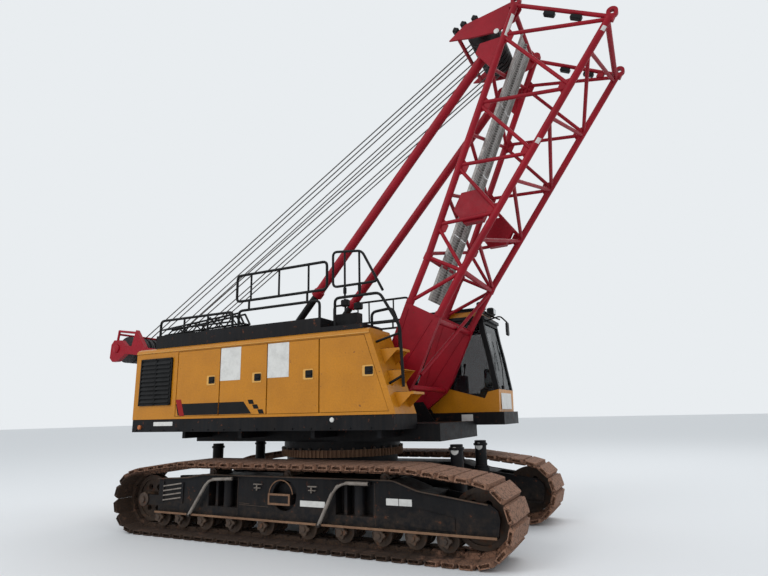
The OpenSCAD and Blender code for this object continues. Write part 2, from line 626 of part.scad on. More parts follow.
windscreen = [[cab_front, sill_z - 70], [cab_front - 90, 2530], [cab_front - 150, 2830], [cab_front - 184, cab_eaves - 60]];
module cab_glass() {
    color(GLASS) {
        difference() {
            across(cab_y + glass_in, cab_y + glass_in + glass_t) polygon(side_window);
            translate([0, 0, seat_gap]) across(cab_y, cab_y + cab_w) polygon(cab_low);
        }
        box(cab_rear + glass_in, cab_rear + glass_in + glass_t, cab_y + 120, cab_y + cab_w - 120, 2150, cab_eaves - 60);
        across(cab_y + 70, cab_y + cab_w - 70) polygon(concat([for (p = windscreen) p - [glass_in, 0]],
            [for (i = [3:-1:0]) windscreen[i] - [glass_in + glass_t, 0]]));
        box(cab_front - 35, cab_front - 29, cab_y + 120, cab_y + cab_w - 120, deck_z + 90, sill_z - 160);
    }
}
module cab_seat() {
    color(BLACK) {
        box(cab_rear + 300, cab_rear + 800, cab_y + 230, cab_y + 680, deck_z + 60 + seat_gap, 2100);
        box(cab_rear + 250, cab_rear + 380, cab_y + 230, cab_y + 680, 2100, 2700);
    }
}
module cab_door_pin(gap) {
    translate([cab_door_x, cab_y + cab_w - wall_t / 2, door_bottom - 24]) cylinder(r = 12 + gap, h = door_head - door_bottom + 48);
}
door_front = cab_front - 241;
module cab_door() {
    color(BLACK) difference() {
        union() {
            box(cab_door_x, door_front, cab_y + cab_w - wall_t, cab_y + cab_w, door_bottom + 6, door_head - 6);
            translate([cab_door_x, cab_y + cab_w - wall_t / 2, door_bottom + 6]) cylinder(r = wall_t / 2, h = door_head - door_bottom - 12);
            cab_door_pin(0);
        }
        box(cab_rear + 700, door_front - 60, cab_y + cab_w - wall_t - 1, cab_y + cab_w + 1, sill_z - 100, door_head - 70);
    }
}
module cab_door_glass() {
    color(GLASS) box(cab_rear + 700, door_front - 60, cab_y + cab_w - glass_in - glass_t, cab_y + cab_w - glass_in, sill_z - 100, door_head - 70);
}

module gantry_frame() { translate([-gantry_x, 0, gantry_z]) rotate([0, 180 + gantry_fold, 0]) children(); }
leg_h = 75;
module gantry() {
    color(RED) gantry_frame() {
        for (s = [-1, 1]) difference() {
            across(s > 0 ? 680 : -760, s > 0 ? 760 : -680)
                polygon([[-90, -60], [60, -leg_h], [gantry_len - 750, -leg_h], [gantry_len - 440, -380], [gantry_len - 390, -leg_h],
                    [gantry_len - 240, -leg_h], [gantry_len - 100, -165], [gantry_len + 110, -150], [gantry_len + 170, -60],
                    [gantry_len + 150, 190], [gantry_len + 60, 255], [gantry_len - 70, 235], [gantry_len - 260, leg_h], [-60, leg_h]]);
            axle(0, 0, 45 + pin_gap, -1000, 1000);
        }
        for (x = [0.38, 0.65, 0.87]) axle(x * gantry_len, 0, 60, -690, 690);
        axle(gantry_len, 0, 60, -690, 690);
        // Guard bars over the sheaves
        for (s = [-1, 1]) pipe([[gantry_len + 60, s * 720, -140], [gantry_len + 60, s * 720, -330], [gantry_len - 420, s * 720, -330]], 22);
        bar([gantry_len + 60, -720, -270], [gantry_len + 60, 720, -270], 20);
    }
}
sheave_edge = 30;
module gantry_sheaves() {
    color(STEEL) gantry_frame() for (y = [-500:125:500]) difference() {
        axle(gantry_len, 0, sheave_r, y - sheave_edge, y + sheave_edge);
        axle(gantry_len, 0, 60 + seat_gap, y - sheave_edge - 1, y + sheave_edge + 1);
    }
}

module boom_place() { translate([foot_x, 0, foot_z]) rotate([0, -boom_angle, 0]) children(); }
waist_x = 2220;
plate_end = 1510;
plate_h = 240;
function depth(x) = x > waist_x ? waist_h + (head_h - waist_h) * (x - waist_x) / (boom_len - waist_x)
    : plate_h + (waist_h - plate_h) * (x - plate_end) / (waist_x - plate_end);
// Point on a chord, rear for up = 1 and front for up = -1
function chord(x, side, up) = [x, side * chord_y, up * depth(x)];
// Lacing nodes along the boom: rear chords and front chords
rear_nodes = [2690, 3590, 4550, 5610];
front_nodes = [waist_x, 3150, 4070, 5050, 6070];
head_post = boom_len - 60;
hook_x = boom_len - 120;
ear_y = chord_y - 25;
cross_r = 38;
stop_pin_r = 35;
stop_y = 545;
// The four chords with their sockets and head lugs, grown by gap and over where they cut the ends of the lacing
module chords(gap, over) {
    for (s = [-1, 1]) for (u = [-1, 1]) {
        bar([plate_end, s * chord_y, u * plate_h], [plate_end + 60 + over, s * chord_y, u * plate_h], chord_r + 9 + gap);
        bar([waist_x - 50 - over, s * chord_y, u * waist_h], [waist_x + 50 + over, s * chord_y, u * waist_h], chord_r + 9 + gap);
        bar(chord(plate_end + 12, s, u), chord(waist_x - 8, s, u), chord_r + gap);
        bar(chord(waist_x + 8, s, u), chord(boom_len - 80 + over, s, u), chord_r + gap);
        translate([boom_len, s * chord_y, u * depth(boom_len)]) difference() {
            union() {
                rotate([90, 0, 0]) cylinder(r = 75 + gap, h = 60 + 2 * gap, center = true);
                translate([-120 - gap, -30 - gap, -60 - gap]) cube([120, 60 + 2 * gap, 120 + 2 * gap]);
            }
            rotate([90, 0, 0]) cylinder(r = 30, h = 62, center = true);
        }
    }
}
// Two lacing tubes that meet at a node keep apart: each ends this far beside it, and farther beside a cross tube
node_gap = 20;
cross_gap = 52;
module lacing() {
    for (s = [-1, 1]) {
        for (i = [0:3]) {
            bar(chord(front_nodes[i] + node_gap, s, -1), chord(rear_nodes[i] - node_gap, s, 1), lace_r);
            bar(chord(rear_nodes[i] + node_gap, s, 1), chord(front_nodes[i + 1] - node_gap, s, -1), lace_r);
        }
        bar(chord(plate_end + 32, s, 1), chord(waist_x - node_gap, s, -1), lace_r);
        bar(chord(waist_x, s, -1), chord(waist_x, s, 1), lace_r);
        bar(chord(head_post, s, -1), chord(head_post, s, 1), lace_r + 3);
    }
    for (i = [0:3]) {
        m = (front_nodes[i] + front_nodes[i + 1]) / 2;
        bar(chord(max(front_nodes[i] + node_gap, waist_x + cross_gap), 1, -1), chord(m - node_gap, -1, -1), lace_r);
        bar(chord(m + node_gap, -1, -1), chord(min(front_nodes[i + 1] - node_gap, hook_x - cross_gap), 1, -1), lace_r);
    }
    for (i = [0:2]) {
        m = (rear_nodes[i] + rear_nodes[i + 1]) / 2;
        bar(chord(rear_nodes[i] + node_gap, 1, 1), chord(m - node_gap, -1, 1), lace_r);
        bar(chord(m + node_gap, -1, 1), chord(rear_nodes[i + 1] - node_gap, 1, 1), lace_r);
    }
    bar(chord(waist_x + cross_gap, -1, 1), chord(rear_nodes[0] - node_gap, 1, 1), lace_r);
    bar(chord(waist_x - node_gap, 1, -1), [680, -chord_y + foot_w / 2 + 25, -plate_h - 100], lace_r);
    for (u = [-1, 1]) for (x = [waist_x, hook_x]) bar(chord(x, -1, u), chord(x, 1, u), cross_r);
    // Ears for the backstops
    for (s = [-1, 1]) difference() {
        across(s > 0 ? ear_y : -ear_y - 30, s > 0 ? ear_y + 30 : -ear_y)
            polygon([[stop_at - 260, depth(stop_at - 260)], [stop_at + 260, depth(stop_at + 260)],
                [stop_at + 80, stop_over + 60], [stop_at - 80, stop_over + 60]]);
        axle(stop_at, stop_over, stop_pin_r - 1, -hood_y, hood_y);
    }
    for (s = [-1, 1]) axle(stop_at, stop_over, stop_pin_r, s > 0 ? stop_y - 40 : -ear_y - 30, s > 0 ? ear_y + 30 : 40 - stop_y);
}
module boom_frame() {
    color(RED) boom_place() {
        chords(0, 0);
        difference() {
            lacing();
            chords(seat_gap, 1);
        }
    }
}
lug_r = 150;
module boom_foot() {
    color(RED) boom_place() {
        for (s = [-1, 1]) difference() {
            across(s * chord_y - foot_w / 2, s * chord_y + foot_w / 2) {
                circle(r = lug_r);
                polygon([[-30, lug_r - 5], [60, lug_r], [plate_end, plate_h + 45], [plate_end, -plate_h - 45], [650, -plate_h - 97],
                    [430, -plate_h - 80], [40, -lug_r + 6]]);
            }
            axle(0, 0, foot_pin_r + seat_gap, -1000, 1000);
        }
        for (p = [[450, -plate_h - 25], [plate_end - 60, -plate_h]]) axle(p[0], p[1], cross_r, -chord_y + foot_w / 2 - 1, chord_y - foot_w / 2 + 1);
    }
}
guide_x = 3110;
guide_y = chord_y - lace_r - seat_gap - 110;
plank_start = 1660;
plank_end = boom_len - 200;
module boom_walkway() {
    under = cross_r + seat_gap;
    color(STEEL) boom_place() across(-210, 210) polygon([for (x = [plank_start, waist_x, plank_end]) [x, depth(x) - under],
        for (x = [plank_end, waist_x, plank_start]) [x, depth(x) - under - 40]]);
}
module boom_guides() {
    color(RED) boom_place() for (s = [-1, 1]) translate([guide_x, s > 0 ? guide_y : guide_y * -1 - 110, 0])
        rotate([-90, 0, 0]) cylinder(r = 270, h = 110, $fn = 6);
}
block_x = boom_len - 360;
block_z = head_h + 470;
horn_y = 600;
module hoist_block() {
    color(RED) boom_place() {
        for (s = [-1, 1]) difference() {
            across(s > 0 ? horn_y : -horn_y - 30, s > 0 ? horn_y + 30 : -horn_y) polygon([for (p = [[60, 100], [-100, 300], [-410, 700], [-705, 840],
                [-610, 540], [-440, 140], [-240, -60], [-40, -80]]) [boom_len + p[0], head_h + p[1]]]);
            axle(hook_x, depth(hook_x), cross_r + seat_gap, -1000, 1000);
        }
        axle(block_x, block_z, 55, -horn_y - 10, horn_y + 10);
        axle(boom_len - 640, head_h + 700, 30, -horn_y - 10, horn_y + 10);
    }
}
module hoist_sheaves() {
    color(BLACK) boom_place() for (y = [-400:100:400]) difference() {
        axle(block_x, block_z, sheave_r, y - sheave_edge, y + sheave_edge);
        axle(block_x, block_z, 55 + seat_gap, y - sheave_edge - 1, y + sheave_edge + 1);
    }
}

top_pin = [foot_x + stop_at * cos(boom_angle) - stop_over * sin(boom_angle), foot_z + stop_at * sin(boom_angle) + stop_over * cos(boom_angle)];
stop_len = norm(top_pin - [-stop_x, stop_z]);
stop_lean = atan2(top_pin[1] - stop_z, top_pin[0] + stop_x);
module stop_place(s) { translate([-stop_x, s * stop_y, stop_z]) rotate([0, 90 - stop_lean, 0]) children(); }
tube_len = 4440;
module backstop_tube(s) {
    color(RED) stop_place(s) {
        difference() {
            translate([0, 0, stop_len - tube_len]) cylinder(r = stop_r, h = tube_len - 60);
            translate([0, 0, stop_len - tube_len - 1]) cylinder(r = stop_r - 15, h = tube_len - 300);
        }
        difference() {
            translate([0, 35, stop_len]) rotate([90, 0, 0]) cylinder(r = 90, h = 70);
            translate([0, 36, stop_len]) rotate([90, 0, 0]) cylinder(r = stop_pin_r + seat_gap, h = 72);
        }
    }
}
module backstop_rod(s) {
    color(BLACK) stop_place(s) {
        cylinder(r = stop_r - 15 - pin_gap, h = 2600);
        translate([0, 65 - seat_gap, 0]) rotate([90, 0, 0]) cylinder(r = 80, h = 130 - 2 * seat_gap);
    }
}
module backstop_tube_right() { backstop_tube(-1); }
module backstop_tube_left() { backstop_tube(1); }
module backstop_rod_right() { backstop_rod(-1); }
module backstop_rod_left() { backstop_rod(1); }

carbody();
slewing_ring();
jacks();
side_frame_right();
side_frame_left();
track_right();
track_left();
rollers_right();
rollers_left();
end_wheels_right();
end_wheels_left();
revolving_frame();
engine();
hood_right();
hood_left();
rear_hood();
hood_door_1();
hood_door_2();
hood_door_3();
hood_door_4();
hood_door_left();
louvre_right();
walkway_right();
handrails_right();
handrails_left();
boarding_steps();
drum_front();
drum_middle();
drum_rear();
cab_shell();
cab_frame();
cab_roof();
cab_glass();
cab_seat();
cab_door();
cab_door_glass();
gantry();
gantry_sheaves();
boom_frame();
boom_foot();
boom_walkway();
boom_guides();
hoist_block();
hoist_sheaves();
backstop_tube_right();
backstop_tube_left();
backstop_rod_right();
backstop_rod_left();
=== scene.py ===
import math

import bpy
import numpy as np
from mathutils import Matrix


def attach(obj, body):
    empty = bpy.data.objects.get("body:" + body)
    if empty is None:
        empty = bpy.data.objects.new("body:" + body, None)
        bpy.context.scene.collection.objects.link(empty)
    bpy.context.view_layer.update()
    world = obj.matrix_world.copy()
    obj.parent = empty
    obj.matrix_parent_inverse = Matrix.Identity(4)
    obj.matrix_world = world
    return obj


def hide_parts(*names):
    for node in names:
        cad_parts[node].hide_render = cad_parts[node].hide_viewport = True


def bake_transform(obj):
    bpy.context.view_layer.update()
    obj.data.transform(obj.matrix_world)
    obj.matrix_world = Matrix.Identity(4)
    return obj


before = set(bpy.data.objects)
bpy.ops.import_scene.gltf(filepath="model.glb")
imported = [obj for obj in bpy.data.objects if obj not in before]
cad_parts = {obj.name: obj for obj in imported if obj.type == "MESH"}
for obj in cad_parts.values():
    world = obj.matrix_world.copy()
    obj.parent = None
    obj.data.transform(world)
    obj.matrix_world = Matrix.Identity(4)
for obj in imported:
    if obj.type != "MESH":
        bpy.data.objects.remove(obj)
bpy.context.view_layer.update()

# Camera, in metres and radians: turned from +Y towards -X, tipped up, rolled
EYE = (4.554, -7.615, 1.621)
YAW, PITCH, ROLL = np.radians([26.336, 13.241, -1.274])
FOCAL_PX, IMAGE_PX, SENSOR_MM = 539.434, 768, 36.0

# Places of the machine, in metres: pins in X and Z, the hoist pin along and over the boom, faces in Y
FOOT = (1.02, 1.72)
BOOM_ANGLE = math.radians(61)
HOIST = (5.79, 1.17)
CHORD_Y = 0.72
PIVOT = (-0.1, 2.3)
FOLD = math.radians(8.4)
GANTRY_LEN = 4.45
TRACK_Y = 1.28
ROLLER_Z = 0.2373
FRAME_Y = 1.495
DECK_Y = 1.49
HOOD_Y = 1.5
RAIL_Y = 1.402
TRAY_Z, RAIL_Z = 2.7603, 3.2
STEP_Y = (-1.34, -1.01)
JACK_X, JACK_Y = 2.07, 0.54
UP = (0, 0, 1)
FLOOR = 150


def place_camera():
    """Axes of the view: forward from yaw and pitch, right level, then both turned by the roll."""
    forward = np.array([-math.sin(YAW) * math.cos(PITCH), math.cos(YAW) * math.cos(PITCH), math.sin(PITCH)])
    level = np.array([math.cos(YAW), math.sin(YAW), 0.0])
    above = np.cross(level, forward)
    right = math.cos(ROLL) * level + math.sin(ROLL) * above
    up = -math.sin(ROLL) * level + math.cos(ROLL) * above
    data = bpy.data.cameras.new("view")
    data.sensor_width = SENSOR_MM
    data.lens = FOCAL_PX / IMAGE_PX * SENSOR_MM
    data.clip_end = 400
    camera = bpy.data.objects.new("view", data)
    bpy.context.scene.collection.objects.link(camera)
    axes = np.eye(4)
    axes[:3, 0], axes[:3, 1], axes[:3, 2], axes[:3, 3] = right, up, -forward, EYE
    camera.matrix_world = Matrix(axes.tolist())
    bpy.context.scene.camera = camera


def linear(code):
    """sRGB hex to linear red, green and blue: c / 12.92 up to 0.04045, then ((c + 0.055) / 1.055) ^ 2.4."""
    c = np.array([int(code[i:i + 2], 16) for i in (0, 2, 4)]) / 255.0
    return tuple(np.where(c <= 0.04045, c / 12.92, ((c + 0.055) / 1.055) ** 2.4)) + (1.0,)


def add(tree, kind, inputs=None, **settings):
    """One node with its settings. An input is another node's output, a value, or a colour in sRGB hex."""
    made = tree.nodes.new("ShaderNode" + kind)
    for key, value in settings.items():
        setattr(made, key, value)
    for key, value in (inputs or {}).items():
        if isinstance(value, bpy.types.NodeSocket):
            tree.links.new(value, made.inputs[key])
        else:
            made.inputs[key].default_value = linear(value) if isinstance(value, str) else value
    return made.outputs


def blank(name):
    """A material without nodes, and its node tree."""
    stuff = bpy.data.materials.new(name)
    stuff.use_nodes = True
    stuff.node_tree.nodes.clear()
    return stuff, stuff.node_tree


# Materials. A range turns noise or height into a share: inputs 1 and 2 are the range read, 3 and 4 the range
# given. A mix takes its share at input 0 and its two tones at 6 and 7

def finish(name, tones, share, grain_mm, rough, bump_mm, metallic=0.0, coat=0.0, mud=0.0, mud_top=1.4,
           rust=0.0, shine=0.5):
    """A painted or bare metal in three tones: base, worn and dust. The base wanders to the worn tone in
    patches a hand wide, dust lies on upward faces by its share and runs down in streaks, grain of grain_mm
    shows in tone and relief, mud thins out from the ground up to mud_top, and rust sits in small blotches."""
    base, worn, dust = tones
    stuff, t = blank(name)
    here = add(t, "TexCoord")["Object"]
    wide = add(t, "TexNoise", {"Vector": here, "Scale": 1.9, "Detail": 7.0, "Roughness": 0.62})[0]
    middle = add(t, "TexNoise", {"Vector": here, "Scale": 11.0, "Detail": 6.0, "Roughness": 0.68})[0]
    fine = add(t, "TexNoise", {"Vector": here, "Scale": 160.0 / grain_mm, "Detail": 4.0, "Roughness": 0.7})[0]
    drawn = add(t, "Mapping", {"Vector": here, "Scale": (8.0, 8.0, 0.55)})[0]
    streak = add(t, "TexNoise", {"Vector": drawn, "Scale": 2.2, "Detail": 6.0, "Roughness": 0.6})[0]
    wear = add(t, "MapRange", {0: wide, 1: 0.36, 2: 0.68})[0]
    toned = add(t, "Mix", {0: wear, 6: base, 7: worn}, data_type="RGBA")[2]
    if rust:
        spots = add(t, "MapRange", {0: middle, 1: 0.66 - 0.16 * rust, 2: 0.72 - 0.12 * rust})[0]
        toned = add(t, "Mix", {0: spots, 6: toned, 7: "5a3220"}, data_type="RGBA")[2]
    upward = add(t, "SeparateXYZ", {0: add(t, "NewGeometry")["Normal"]})[2]
    lying = add(t, "MapRange", {0: upward, 1: 0.25, 2: 0.95, 3: share, 4: min(1.0, share * 3.4)})[0]
    runs = add(t, "MapRange", {0: streak, 1: 0.4, 2: 0.68, 3: 0.15, 4: 1.0})[0]
    dusty = add(t, "Math", {0: lying, 1: runs}, operation="MULTIPLY")[0]
    if mud:
        height = add(t, "SeparateXYZ", {0: here})[2]
        near = add(t, "MapRange", {0: height, 1: 0.05, 2: mud_top, 3: mud, 4: 0.0})[0]
        clods = add(t, "MapRange", {0: middle, 1: 0.36, 2: 0.6})[0]
        splashed = add(t, "Math", {0: near, 1: clods}, operation="MULTIPLY")[0]
        dusty = add(t, "Math", {0: dusty, 1: splashed}, operation="MAXIMUM")[0]
    toned = add(t, "Mix", {0: dusty, 6: toned, 7: dust}, data_type="RGBA")[2]
    pores = add(t, "MapRange", {0: fine, 1: 0.3, 2: 0.62, 3: 0.16, 4: 0.0})[0]
    toned = add(t, "Mix", {0: pores, 6: toned, 7: "000000"}, data_type="RGBA")[2]
    sheen = add(t, "MapRange", {0: middle, 1: 0.3, 2: 0.7, 3: rough - 0.09, 4: rough + 0.12})[0]
    dulled = add(t, "Math", {0: dusty, 1: 0.4, 2: sheen}, operation="MULTIPLY_ADD")[0]
    coarse = add(t, "Bump", {"Height": middle, "Strength": 0.35, "Distance": bump_mm / 400})[0]
    relief = add(t, "Bump", {"Height": fine, "Normal": coarse, "Strength": 0.5, "Distance": bump_mm / 1000})[0]
    shader = add(t, "BsdfPrincipled",
                 {"Base Color": toned, "Roughness": dulled, "Normal": relief, "Metallic": metallic,
                  "Coat Weight": coat, "Coat Roughness": 0.15, "Specular IOR Level": shine})
    add(t, "OutputMaterial", {0: shader[0]})
    return stuff


def window_glass():
    """Tinted safety glass: smooth and thin, it mirrors the sky and lets a dim cab show."""
    stuff, t = blank("tinted_safety_glass")
    here = add(t, "TexCoord")["Object"]
    film = add(t, "TexNoise", {"Vector": here, "Scale": 5.0, "Detail": 5.0})[0]
    rough = add(t, "MapRange", {0: film, 1: 0.4, 2: 0.7, 3: 0.03, 4: 0.16})[0]
    shader = add(t, "BsdfPrincipled", {"Roughness": rough, "Base Color": "1b2224", "Alpha": 0.5})
    add(t, "OutputMaterial", {0: shader[0]})
    return stuff


def tread_planks():
    """Galvanised perforated planks: rows of round holes 40 mm apart over mottled zinc, each a slight dip
    painted darker grey as the shade seen through it.
    """
    stuff, t = blank("galvanised_perforated_plank")
    here = add(t, "TexCoord")["Object"]
    along = add(t, "Mapping", {"Vector": here, "Rotation": (0, BOOM_ANGLE, 0)})[0]
    cells = add(t, "TexVoronoi", {"Vector": along, "Scale": 25.0, "Randomness": 0.0},
                voronoi_dimensions="2D")[0]
    hole = add(t, "MapRange", {0: cells, 1: 0.2, 2: 0.27, 3: 1.0, 4: 0.0})[0]
    zinc = add(t, "TexNoise", {"Vector": here, "Scale": 14.0, "Detail": 6.0, "Roughness": 0.7})[0]
    mottle = add(t, "MapRange", {0: zinc, 1: 0.35, 2: 0.65})[0]
    tone = add(t, "Mix", {0: mottle, 6: "b4b2ae", 7: "8b8783"}, data_type="RGBA")[2]
    # Painted shade: darker grey in the holes for the shade seen through them
    tone = add(t, "Mix", {0: hole, 6: tone, 7: "4a4847"}, data_type="RGBA")[2]
    relief = add(t, "Bump", {"Height": hole, "Strength": 0.9, "Distance": 0.006}, invert=True)[0]
    shader = add(t, "BsdfPrincipled",
                 {"Base Color": tone, "Normal": relief, "Metallic": 0.35, "Roughness": 0.55})
    add(t, "OutputMaterial", {0: shader[0]})
    return stuff


def caked_shoes():
    """Rusted shoes under cracked dry clay: thick and paler on the upper run and the front, thin elsewhere.
    Clay covers where max(share of height, share of reach forward) + lumpy noise passes 0.56 to 0.74."""
    stuff, t = blank("rusted_shoes_under_cracked_clay")
    here = add(t, "TexCoord")["Object"]
    x, _, z = add(t, "SeparateXYZ", {0: here})[:3]
    lump = add(t, "TexNoise", {"Vector": here, "Scale": 7.0, "Detail": 8.0, "Roughness": 0.65})[0]
    grit = add(t, "TexNoise", {"Vector": here, "Scale": 60.0, "Detail": 6.0, "Roughness": 0.7})[0]
    above = add(t, "MapRange", {0: z, 1: 0.75, 2: 0.98, 3: 0.0, 4: 0.62})[0]
    ahead = add(t, "MapRange", {0: x, 1: 1.8, 2: 2.9, 3: 0.0, 4: 0.45})[0]
    thick = add(t, "Math", {0: above, 1: ahead}, operation="MAXIMUM")[0]
    lumpy = add(t, "Math", {0: thick, 1: lump}, operation="ADD")[0]
    cover = add(t, "MapRange", {0: lumpy, 1: 0.56, 2: 0.74})[0]
    bend = add(t, "TexNoise", {"Vector": here, "Scale": 20.0})[1]
    bent = add(t, "Mix", {0: 0.06, 6: here, 7: bend}, data_type="RGBA")[2]
    crack = add(t, "TexVoronoi", {"Vector": bent, "Scale": 16.0}, feature="DISTANCE_TO_EDGE")[0]
    gap = add(t, "MapRange", {0: crack, 1: 0.01, 2: 0.045, 3: 1.0, 4: 0.0})[0]
    reach = add(t, "MapRange", {0: x, 1: -3.0, 2: 3.0})[0]
    gritty = add(t, "MapRange", {0: grit, 1: 0.3, 2: 0.7})[0]
    rusty = add(t, "MapRange", {0: grit, 1: 0.35, 2: 0.6})[0]
    clay = add(t, "Mix", {0: reach, 6: "654534", 7: "96705a"}, data_type="RGBA")[2]
    clay = add(t, "Mix", {0: gritty, 6: clay, 7: "7d5a46"}, data_type="RGBA")[2]
    clay = add(t, "Mix", {0: gap, 6: clay, 7: "35261d"}, data_type="RGBA")[2]
    steel = add(t, "Mix", {0: rusty, 6: "1b1512", 7: "46301f"}, data_type="RGBA")[2]
    tone = add(t, "Mix", {0: cover, 6: steel, 7: clay}, data_type="RGBA")[2]
    height = add(t, "Math", {0: lump, 1: grit, 2: cover}, operation="MULTIPLY_ADD")[0]
    relief = add(t, "Bump", {"Height": height, "Strength": 0.7, "Distance": 0.02})[0]
    relief = add(t, "Bump", {"Height": gap, "Normal": relief, "Strength": 0.8, "Distance": 0.008},
                 invert=True)[0]
    shader = add(t, "BsdfPrincipled", {"Base Color": tone, "Normal": relief, "Roughness": 0.88})
    add(t, "OutputMaterial", {0: shader[0]})
    return stuff


def plain(name, tone, rough, metallic=0.0, grime="3a352f", share=0.25, shine=0.5):
    """A small trim finish: one tone, grimy in patches two fingers wide."""
    stuff, t = blank(name)
    here = add(t, "TexCoord")["Object"]
    patch = add(t, "TexNoise", {"Vector": here, "Scale": 9.0, "Detail": 6.0, "Roughness": 0.7})[0]
    grimy = add(t, "MapRange", {0: patch, 1: 0.42, 2: 0.72, 3: 0.0, 4: share})[0]
    toned = add(t, "Mix", {0: grimy, 6: tone, 7: grime}, data_type="RGBA")[2]
    relief = add(t, "Bump", {"Height": patch, "Strength": 0.2, "Distance": 0.002})[0]
    shader = add(t, "BsdfPrincipled",
                 {"Base Color": toned, "Normal": relief, "Roughness": rough, "Metallic": metallic,
                  "Specular IOR Level": shine})
    add(t, "OutputMaterial", {0: shader[0]})
    return stuff


# Finishes by record slot. The comments say what each gives the eye
finishes = {
    # Sprayed enamel on welded plate: near black, half gloss, brown splashes and rust blotches low down
    "frame_black": finish("satin_black_frame_enamel", ("0b0c0f", "15171b", "5a4a3d"), share=0.07, grain_mm=3,
                          rough=0.45, bump_mm=0.6, mud=0.5, mud_top=0.7, rust=0.25, shine=0.14),
    # Cast steel that lies low: dull clay brown, coarse grain
    "ring_iron": finish("cast_steel_under_dry_clay", ("6b4c3a", "85644c", "a08264"), share=0.3, grain_mm=8,
                        rough=0.85, bump_mm=2.0, mud=0.2),
    # Rolled shoes: dark rust under pale dust, rough
    "track_iron": finish("rolled_shoes_rusted_under_dry_clay", ("2a1f1b", "4a3429", "ab8668"), share=0.3,
                         grain_mm=9, rough=0.82, bump_mm=4.0, mud=0.25, rust=0.8),
    # Iron polished by the belt: dark brown with a dull metal sheen
    "roller_iron": finish("rolled_tread_iron", ("332a27", "4d3d33", "7f6850"), share=0.2, grain_mm=5,
                          rough=0.55, bump_mm=1.2, metallic=0.35, mud=0.35, mud_top=0.6, rust=0.6),
    # Sprayed and baked enamel: even golden yellow with soft gloss, a little dust on top
    "body_yellow": finish("golden_yellow_machine_enamel", ("c17d14", "b27212", "86683c"), share=0.04,
                          grain_mm=4, rough=0.34, bump_mm=0.25, coat=0.1, rust=0.04, shine=0.3),
    # Brushed enamel inside the machine: flat grey
    "machinery_grey": finish("grey_machinery_enamel", ("5c6063", "484a4c", "6a6258"), share=0.12, grain_mm=4,
                             rough=0.5, bump_mm=0.5),
    # Powder coat on rails and trims: even black with a fine tooth
    "trim_black": finish("black_powder_coat", ("0a0b0d", "121315", "45403a"), share=0.04, grain_mm=2,
                         rough=0.45, bump_mm=0.4, shine=0.16),
    "cab_glass": window_glass(),
    # Sprayed enamel on tubes: deep crimson, satin
    "boom_red": finish("crimson_machine_enamel", ("980c20", "840c1d", "6e3436"), share=0.02, grain_mm=4,
                       rough=0.46, bump_mm=0.3, rust=0.05, shine=0.2),
    # Cast sheaves: black with grease and rust in the groove
    "sheave_black": finish("cast_sheave_under_grease", ("161517", "262220", "3d352e"), share=0.08, grain_mm=3,
                           rough=0.5, bump_mm=0.8, rust=0.3),
    "galvanised": tread_planks(),
}
clay_shoes = caked_shoes()
# Twisted steel wire under grease: grey with a dull metal glint
rope_finish = plain("greased_steel_rope", "5a5856", 0.5, metallic=0.6)
# Printed vinyl film left blank: off white, half gloss, weathered
white_plate = plain("white_vinyl_plate", "d4d3cf", 0.4)
# Black and red vinyl film: flat, even, almost no gloss
stripe_black = plain("black_vinyl_stripe", "0e0e10", 0.5, share=0.1, shine=0.15)
stripe_red = plain("red_vinyl_stripe", "8f1414", 0.5, share=0.1, shine=0.2)
# Moulded lenses: smooth, with a clear highlight
lamp_lens = plain("clear_lamp_lens", "c9ced0", 0.12)
amber_lens = plain("amber_lamp_lens", "b5622a", 0.2)
# Woven seat cloth: dark and matt
seat_cloth = plain("dark_woven_seat_cloth", "24262b", 0.9)
# Extruded rubber: black, dull
hose_rubber = plain("black_hose_rubber", "17181a", 0.6)
# Tube rubbed bare by boots: pale grey under brown dust
dusty_steel = plain("bare_steel_tube_under_dust", "8a827a", 0.6, metallic=0.2, grime="4a3a30", share=0.7)
# Lighter yellow than the enamel round it: a painted highlight, on the lit wall of each latch's recess and in a
# thin line along the hood's lid
painted_highlight_yellow = plain("light_yellow_painted_highlight", "d29c48", 0.45)


# Surfaces: each one gives its points and its faces, which a piece turns outwards by the volume inside

def strip(points, around=True, loop=False):
    """Faces between the rows of a grid of points. Around joins the last column to the first, loop the last
    row to the first, and without loop one face each closes the first and last rows."""
    rows, columns = points.shape[:2]
    i, j = np.meshgrid(np.arange(rows if loop else rows - 1), np.arange(columns if around else columns - 1),
                       indexing="ij")
    a, b = (i + 1) % rows, (j + 1) % columns
    faces = np.stack([i * columns + j, i * columns + b, a * columns + b, a * columns + j], -1)
    faces = faces.reshape(-1, 4).tolist()
    if around and not loop:
        faces.append(list(range(columns))[::-1])
        faces.append(list(range((rows - 1) * columns, rows * columns)))
    return points.reshape(-1, 3), faces


def turned_out(points, faces):
    """The same faces, all turned round where the volume inside, the sum of p . (q x r), is negative."""
    fans = np.array([(f[0], f[k], f[k + 1]) for f in faces for k in range(1, len(f) - 1)])
    p, q, r = (points[fans[:, k]] - points.mean(0) for k in range(3))
    return faces if np.einsum("ij,ij->i", p, np.cross(q, r)).sum() > 0 else [f[::-1] for f in faces]


def unit(v):
    """Each row over its own length, v / |v|."""
    v = np.asarray(v, float)
    return v / np.linalg.norm(v, axis=-1, keepdims=True)


def piece(name, shapes, stuff, sharp=38, closed=True):
    """One object from several surfaces. Edges sharper than the given angle stay sharp, the rest is smooth."""
    verts, faces, start = [], [], 0
    for points, some in shapes:
        if closed:
            some = turned_out(points, some)
        verts.append(points)
        faces += [[k + start for k in f] for f in some]
        start += len(points)
    mesh = bpy.data.meshes.new(name)
    mesh.from_pydata(np.concatenate(verts).tolist(), [], faces)
    mesh.polygons.foreach_set("use_smooth", np.ones(len(faces), bool))
    mesh.set_sharp_from_angle(angle=math.radians(sharp))
    mesh.materials.append(stuff)
    made = bpy.data.objects.new(name, mesh)
    bpy.context.scene.collection.objects.link(made)
    return made


